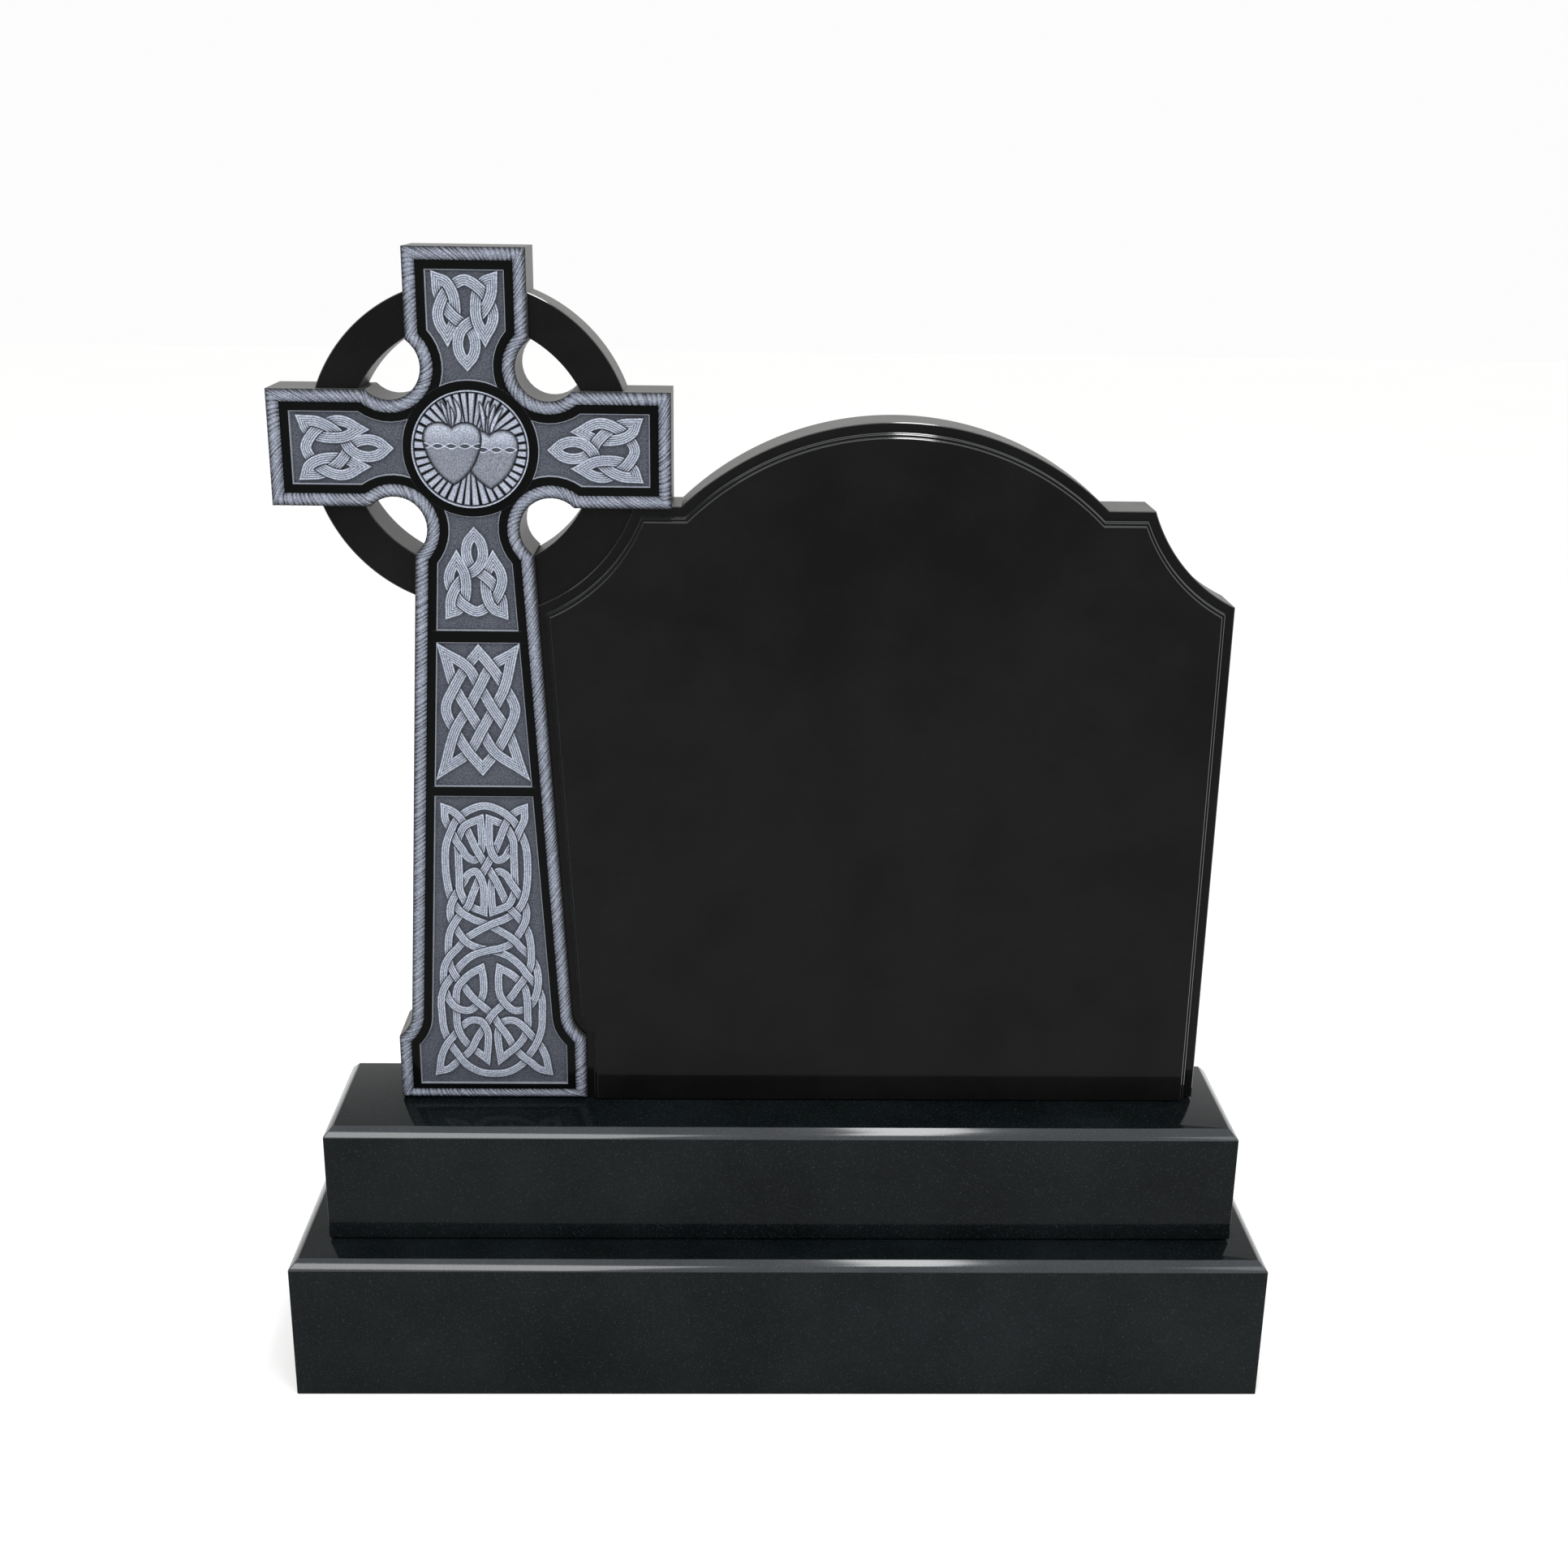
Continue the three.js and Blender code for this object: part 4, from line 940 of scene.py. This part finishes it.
def medallion():
    dish = np.linspace(DISH_START, DISH_END, DISH_ROWS)
    radii = np.concatenate([dish, np.linspace(RIM_FOOT, MEDALLION_RADIUS, RIM_ROWS)])
    angles = np.linspace(0, 2 * math.pi, DISH_COLUMNS, endpoint=False)
    r, a = np.meshgrid(radii, angles, indexing="ij")
    x, z = r * np.cos(a), r * np.sin(a)
    height, tone = ray_relief(r, a)
    for flame in FLAMES:
        height, tone = flame_relief(x, z, height, tone, *flame)
    for heart in HEARTS:
        height, tone = heart_relief(x, z, height, tone, *heart)
    place = np.column_stack([x.ravel(), z.ravel()]) + [CROSS_X, CROSS_Z]
    front = at_depth(place, np.maximum(DISH_FLOOR - height, 0.15).ravel())
    points = np.vstack([front, at_depth(place[-DISH_COLUMNS:], GROUND_DEPTH + 1)])
    tones = np.concatenate([np.clip(tone, 0, 1).ravel(), np.full(DISH_COLUMNS, 0.4)])
    faces = capped_faces(len(radii) + 1, DISH_COLUMNS)
    return build("medallion", points, faces, [STRAND], tone=tones, sharp=80.0)


# ---- ring behind the arms, the web to the tablet, and the tablet
RING_BEVEL = 1.0
WEB_START, WEB_END = -0.43 * math.pi, -0.09 * math.pi


def ring():
    outer, inner = circle(RING_OUTER), circle(RING_INNER)
    outer_bevel, inner_bevel = circle(RING_OUTER - RING_BEVEL), circle(RING_INNER + RING_BEVEL)
    front, back = RING_SETBACK, RING_BACK
    rings = [
        (outer_bevel, front), (outer, front + RING_BEVEL), (outer, back - RING_BEVEL), (outer_bevel, back),
        (inner_bevel, back), (inner, back - RING_BEVEL), (inner, front + RING_BEVEL), (inner_bevel, front),
    ]
    points = np.vstack([at_depth(xz, depth) for xz, depth in rings])
    faces = ring_faces(len(rings), CIRCLE_STEPS, closed_rows=True)
    # The front bevels take the lighter arris black, a painted highlight
    indices = np.repeat([3, 1, 1, 2, 1, 1, 3, 0], CIRCLE_STEPS)
    return build("ring", points, faces.tolist(), [POLISHED, HONED, BACK, ARRIS_HIGHLIGHT], indices)


def web():
    outer = arc(CROSS_X, CROSS_Z, SCOTIA_RADIUS + 0.5, WEB_START, WEB_END, WEB_STEPS)
    inner = arc(CROSS_X, CROSS_Z, (RING_OUTER + RING_INNER) / 2, WEB_END, WEB_START, WEB_STEPS)
    outline = np.vstack([outer, inner])
    return loft("ring_web", [(outline, WEB_FRONT), (outline, WEB_BACK)], [POLISHED, BACK], [0], [0, 1])


def tablet():
    hidden = -0.45 * SHAFT_TOP_HALF
    band = BAND_WIDTH
    face = BAND_WIDTH + BEAD_WIDTH
    # Inset of the outline, its distance from the shaft, and its depth
    levels = [
        (1.0, hidden, TABLET_BACK), (0.0, hidden, TABLET_BACK - 1.0),
        (0.0, hidden, BAND_SETBACK + 1.0), (1.0, hidden, BAND_SETBACK),
        (band - 0.8, SHAFT_BAND - 5.0, BAND_SETBACK), (band, SHAFT_BAND - 4.2, BAND_SETBACK - 0.8),
        (band + 0.2, SHAFT_BAND - 4.0, BEAD_SETBACK + 0.9), (band + 1.0, SHAFT_BAND - 3.2, BEAD_SETBACK),
        (face - 0.5, SHAFT_BAND - 0.5, BEAD_SETBACK), (face, SHAFT_BAND, BEAD_SETBACK - 0.6),
        (face + 0.2, SHAFT_BAND + 0.2, 0.9), (face + 1.0, SHAFT_BAND + 1.0, 0.02),
    ]
    rings = [(tablet_outline(inset, gap), depth) for inset, gap, depth in levels]
    # The bevels between the levels take the lighter arris black, a painted highlight
    bands = [1, 1, 3, 0, 3, 0, 3, 0, 3, 0, 3]
    return loft("tablet", rings, [POLISHED, HONED, BACK, ARRIS_HIGHLIGHT], bands, [2, 0])


# ---- bases with rounded arrises
CORNER_STEPS = 5
QUARTERS = ((1, 1, 0), (-1, 1, 0.5), (-1, -1, 1.0), (1, -1, 1.5))


def base(name, width, depth, height, x, z):
    def outline(inset, corner):
        w, d = width / 2 - inset, depth / 2 - inset
        points = []
        for sx, sy, start in QUARTERS:
            turn = np.linspace(start, start + 0.5, CORNER_STEPS) * math.pi
            side = sx * (w - corner) + corner * np.cos(turn)
            front = sy * (d - corner) + corner * np.sin(turn)
            points.append(np.column_stack([side, front]))
        return np.vstack(points)

    c = BASE_CHAMFER
    # Inset of the outline, its height, and the radius of its corners
    levels = [
        (0.8, 0.0, 1.2), (0.0, 0.8, 1.6), (0.0, height - c - 0.5, 1.6),
        (0.35, height - c + 0.45, 1.6), (c - 0.5, height - 0.35, 1.0), (c + 0.5, height, 0.8),
    ]
    points = []
    for inset, level, corner in levels:
        line = outline(inset, corner)
        points.append(np.column_stack([line[:, 0] + x, line[:, 1], np.full(len(line), z + level)]))
    count = len(points[0])
    # The chamfer and its arrises take the lighter polish, a painted sheen
    indices = np.repeat([0, 0, 1, 1, 1], count).tolist() + [0, 0]
    faces = capped_faces(len(levels), count)
    return build(name, np.vstack(points), faces, [BASE_POLISH, CHAMFER_SHEEN], indices, slot="base_polished")


# ---- the pieces in their places
SHAFT_KNOT_DROP = 2.0


def from_cross(x, z):
    return (x + CROSS_X, z + CROSS_Z)


places = {
    "top": from_cross,
    "left": lambda x, z: (CROSS_X - z, x + CROSS_Z),
    "right": lambda x, z: (CROSS_X + z, CROSS_Z - x),
    "shaft": lambda x, z: (CROSS_X - x, CROSS_Z - z - SHAFT_KNOT_DROP),
}
# Cut lines across a strand, the widths of the strands, and the steps along them
FOUR_LINES, THREE_LINES = (-0.6, -0.2, 0.2, 0.6), (-0.5, 0.0, 0.5)
ARM_STRAND, PLAIT_STRAND, RING_STRAND = 12.2, 12.4, 9.4
ARM_STEP, PLAIT_STEP, RING_STEP = 0.75, 0.8, 0.85
RING_COLUMNS = 21

body = cross_body()
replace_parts(body, "headstone")
bar("upper_bar", *BARS[0])
bar("lower_bar", *BARS[1])
medallion_channel()
rope()
for where, place in places.items():
    knot("arm_knot_" + where, arm_knot(place), ARM_STRAND, FOUR_LINES, ARM_STEP)
knot("plait_knot", plait_knot(from_cross), PLAIT_STRAND, FOUR_LINES, PLAIT_STEP)
knot("ring_knot", ring_knot(from_cross), RING_STRAND, THREE_LINES, RING_STEP, RING_COLUMNS)
medallion()
ring()
web()
tablet()
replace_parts(base("lower_stone", LOWER_WIDTH, LOWER_DEPTH, LOWER_HEIGHT, 0.0, 0.0), "lower_base")
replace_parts(base("upper_stone", UPPER_WIDTH, UPPER_DEPTH, UPPER_HEIGHT, UPPER_SHIFT, LOWER_HEIGHT + BED),
            "upper_base")
for bed in ("lower_bed", "upper_bed"):
    frame["nodes"][bed].data.materials.clear()
    frame["nodes"][bed].data.materials.append(BEDDING)


# ---- floor, light and camera, in metres
FLOOR_HALF = 14.0
SKY_STRENGTH = 0.98
# The camera fitted to the photograph
FOCAL_PIXELS, PHOTO_PIXELS, SENSOR = 2317.515, 1932, 36.0
EYE = (-0.049005, -2.184734, 1.484456)
PITCH, YAW, ROLL = 0.317, 0.022, 0.014


def floor():
    mesh = bpy.data.meshes.new("floor")
    corners = [(FLOOR_HALF * sx, FLOOR_HALF * sy, 0) for sx, sy in ((-1, -1), (1, -1), (1, 1), (-1, 1))]
    mesh.from_pydata(corners, [], [(0, 1, 2, 3)])
    plane = bpy.data.objects.new("floor", mesh)
    bpy.context.scene.collection.objects.link(plane)
    m, nodes, links, shader = material("floor_white")
    coords = nodes.new("ShaderNodeTexCoord")
    drift = noise(nodes, links, coords, 0.8)
    stops = [(0.3, (0.955, 0.955, 0.95)), (0.7, (0.965, 0.965, 0.96))]
    pale = ramp(nodes, links, drift.outputs["Fac"], stops)
    links.new(pale.outputs["Color"], shader.inputs["Base Color"])
    shader.inputs["Roughness"].default_value = 0.9
    shader.inputs["Specular IOR Level"].default_value = 0.1
    shader.inputs["Emission Color"].default_value = (1.0, 1.0, 1.0, 1.0)
    shader.inputs["Emission Strength"].default_value = 0.05
    mesh.materials.append(m)


def light(name, place, aim, size, power, tall):
    data = bpy.data.lights.new(name, "AREA")
    data.shape = "RECTANGLE"
    data.size, data.size_y = size, tall
    data.energy = power
    lamp = bpy.data.objects.new(name, data)
    lamp.location = place
    lamp.rotation_euler = (Vector(aim) - Vector(place)).to_track_quat("-Z", "Y").to_euler()
    bpy.context.scene.collection.objects.link(lamp)


def world():
    sky = bpy.data.worlds.new("studio")
    bpy.context.scene.world = sky
    sky.use_nodes = True
    sky.node_tree.nodes["Background"].inputs["Color"].default_value = (1.0, 1.0, 1.0, 1.0)
    sky.node_tree.nodes["Background"].inputs["Strength"].default_value = SKY_STRENGTH


def camera():
    data = bpy.data.cameras.new("camera")
    data.sensor_width = SENSOR
    data.sensor_fit = "HORIZONTAL"
    data.lens = FOCAL_PIXELS / PHOTO_PIXELS * SENSOR
    data.clip_start, data.clip_end = 0.05, 60.0
    ahead = Vector((math.sin(YAW) * math.cos(PITCH), math.cos(YAW) * math.cos(PITCH), -math.sin(PITCH)))
    flat = Vector((math.cos(YAW), -math.sin(YAW), 0))
    up = flat.cross(ahead)
    right = math.cos(ROLL) * flat + math.sin(ROLL) * up
    above = -math.sin(ROLL) * flat + math.cos(ROLL) * up
    turn = Matrix((right, above, -ahead)).transposed()
    eye = bpy.data.objects.new("camera", data)
    eye.location = EYE
    eye.rotation_euler = turn.to_euler()
    bpy.context.scene.collection.objects.link(eye)
    bpy.context.scene.camera = eye


floor()
world()
light("key", (-1.6, -2.6, 3.4), (-0.1, 0, 0.7), 2.2, 60, tall=1.6)
light("fill", (2.6, -1.6, 2.2), (0.1, 0, 0.7), 2.0, 26, tall=2.0)
light("strip", (0.46, -0.95, 3.3), (0.46, -0.90, 0), 0.4, 32, tall=2.2)
camera()
scene = bpy.context.scene
scene.view_settings.view_transform = "Standard"
scene.view_settings.look = "None"
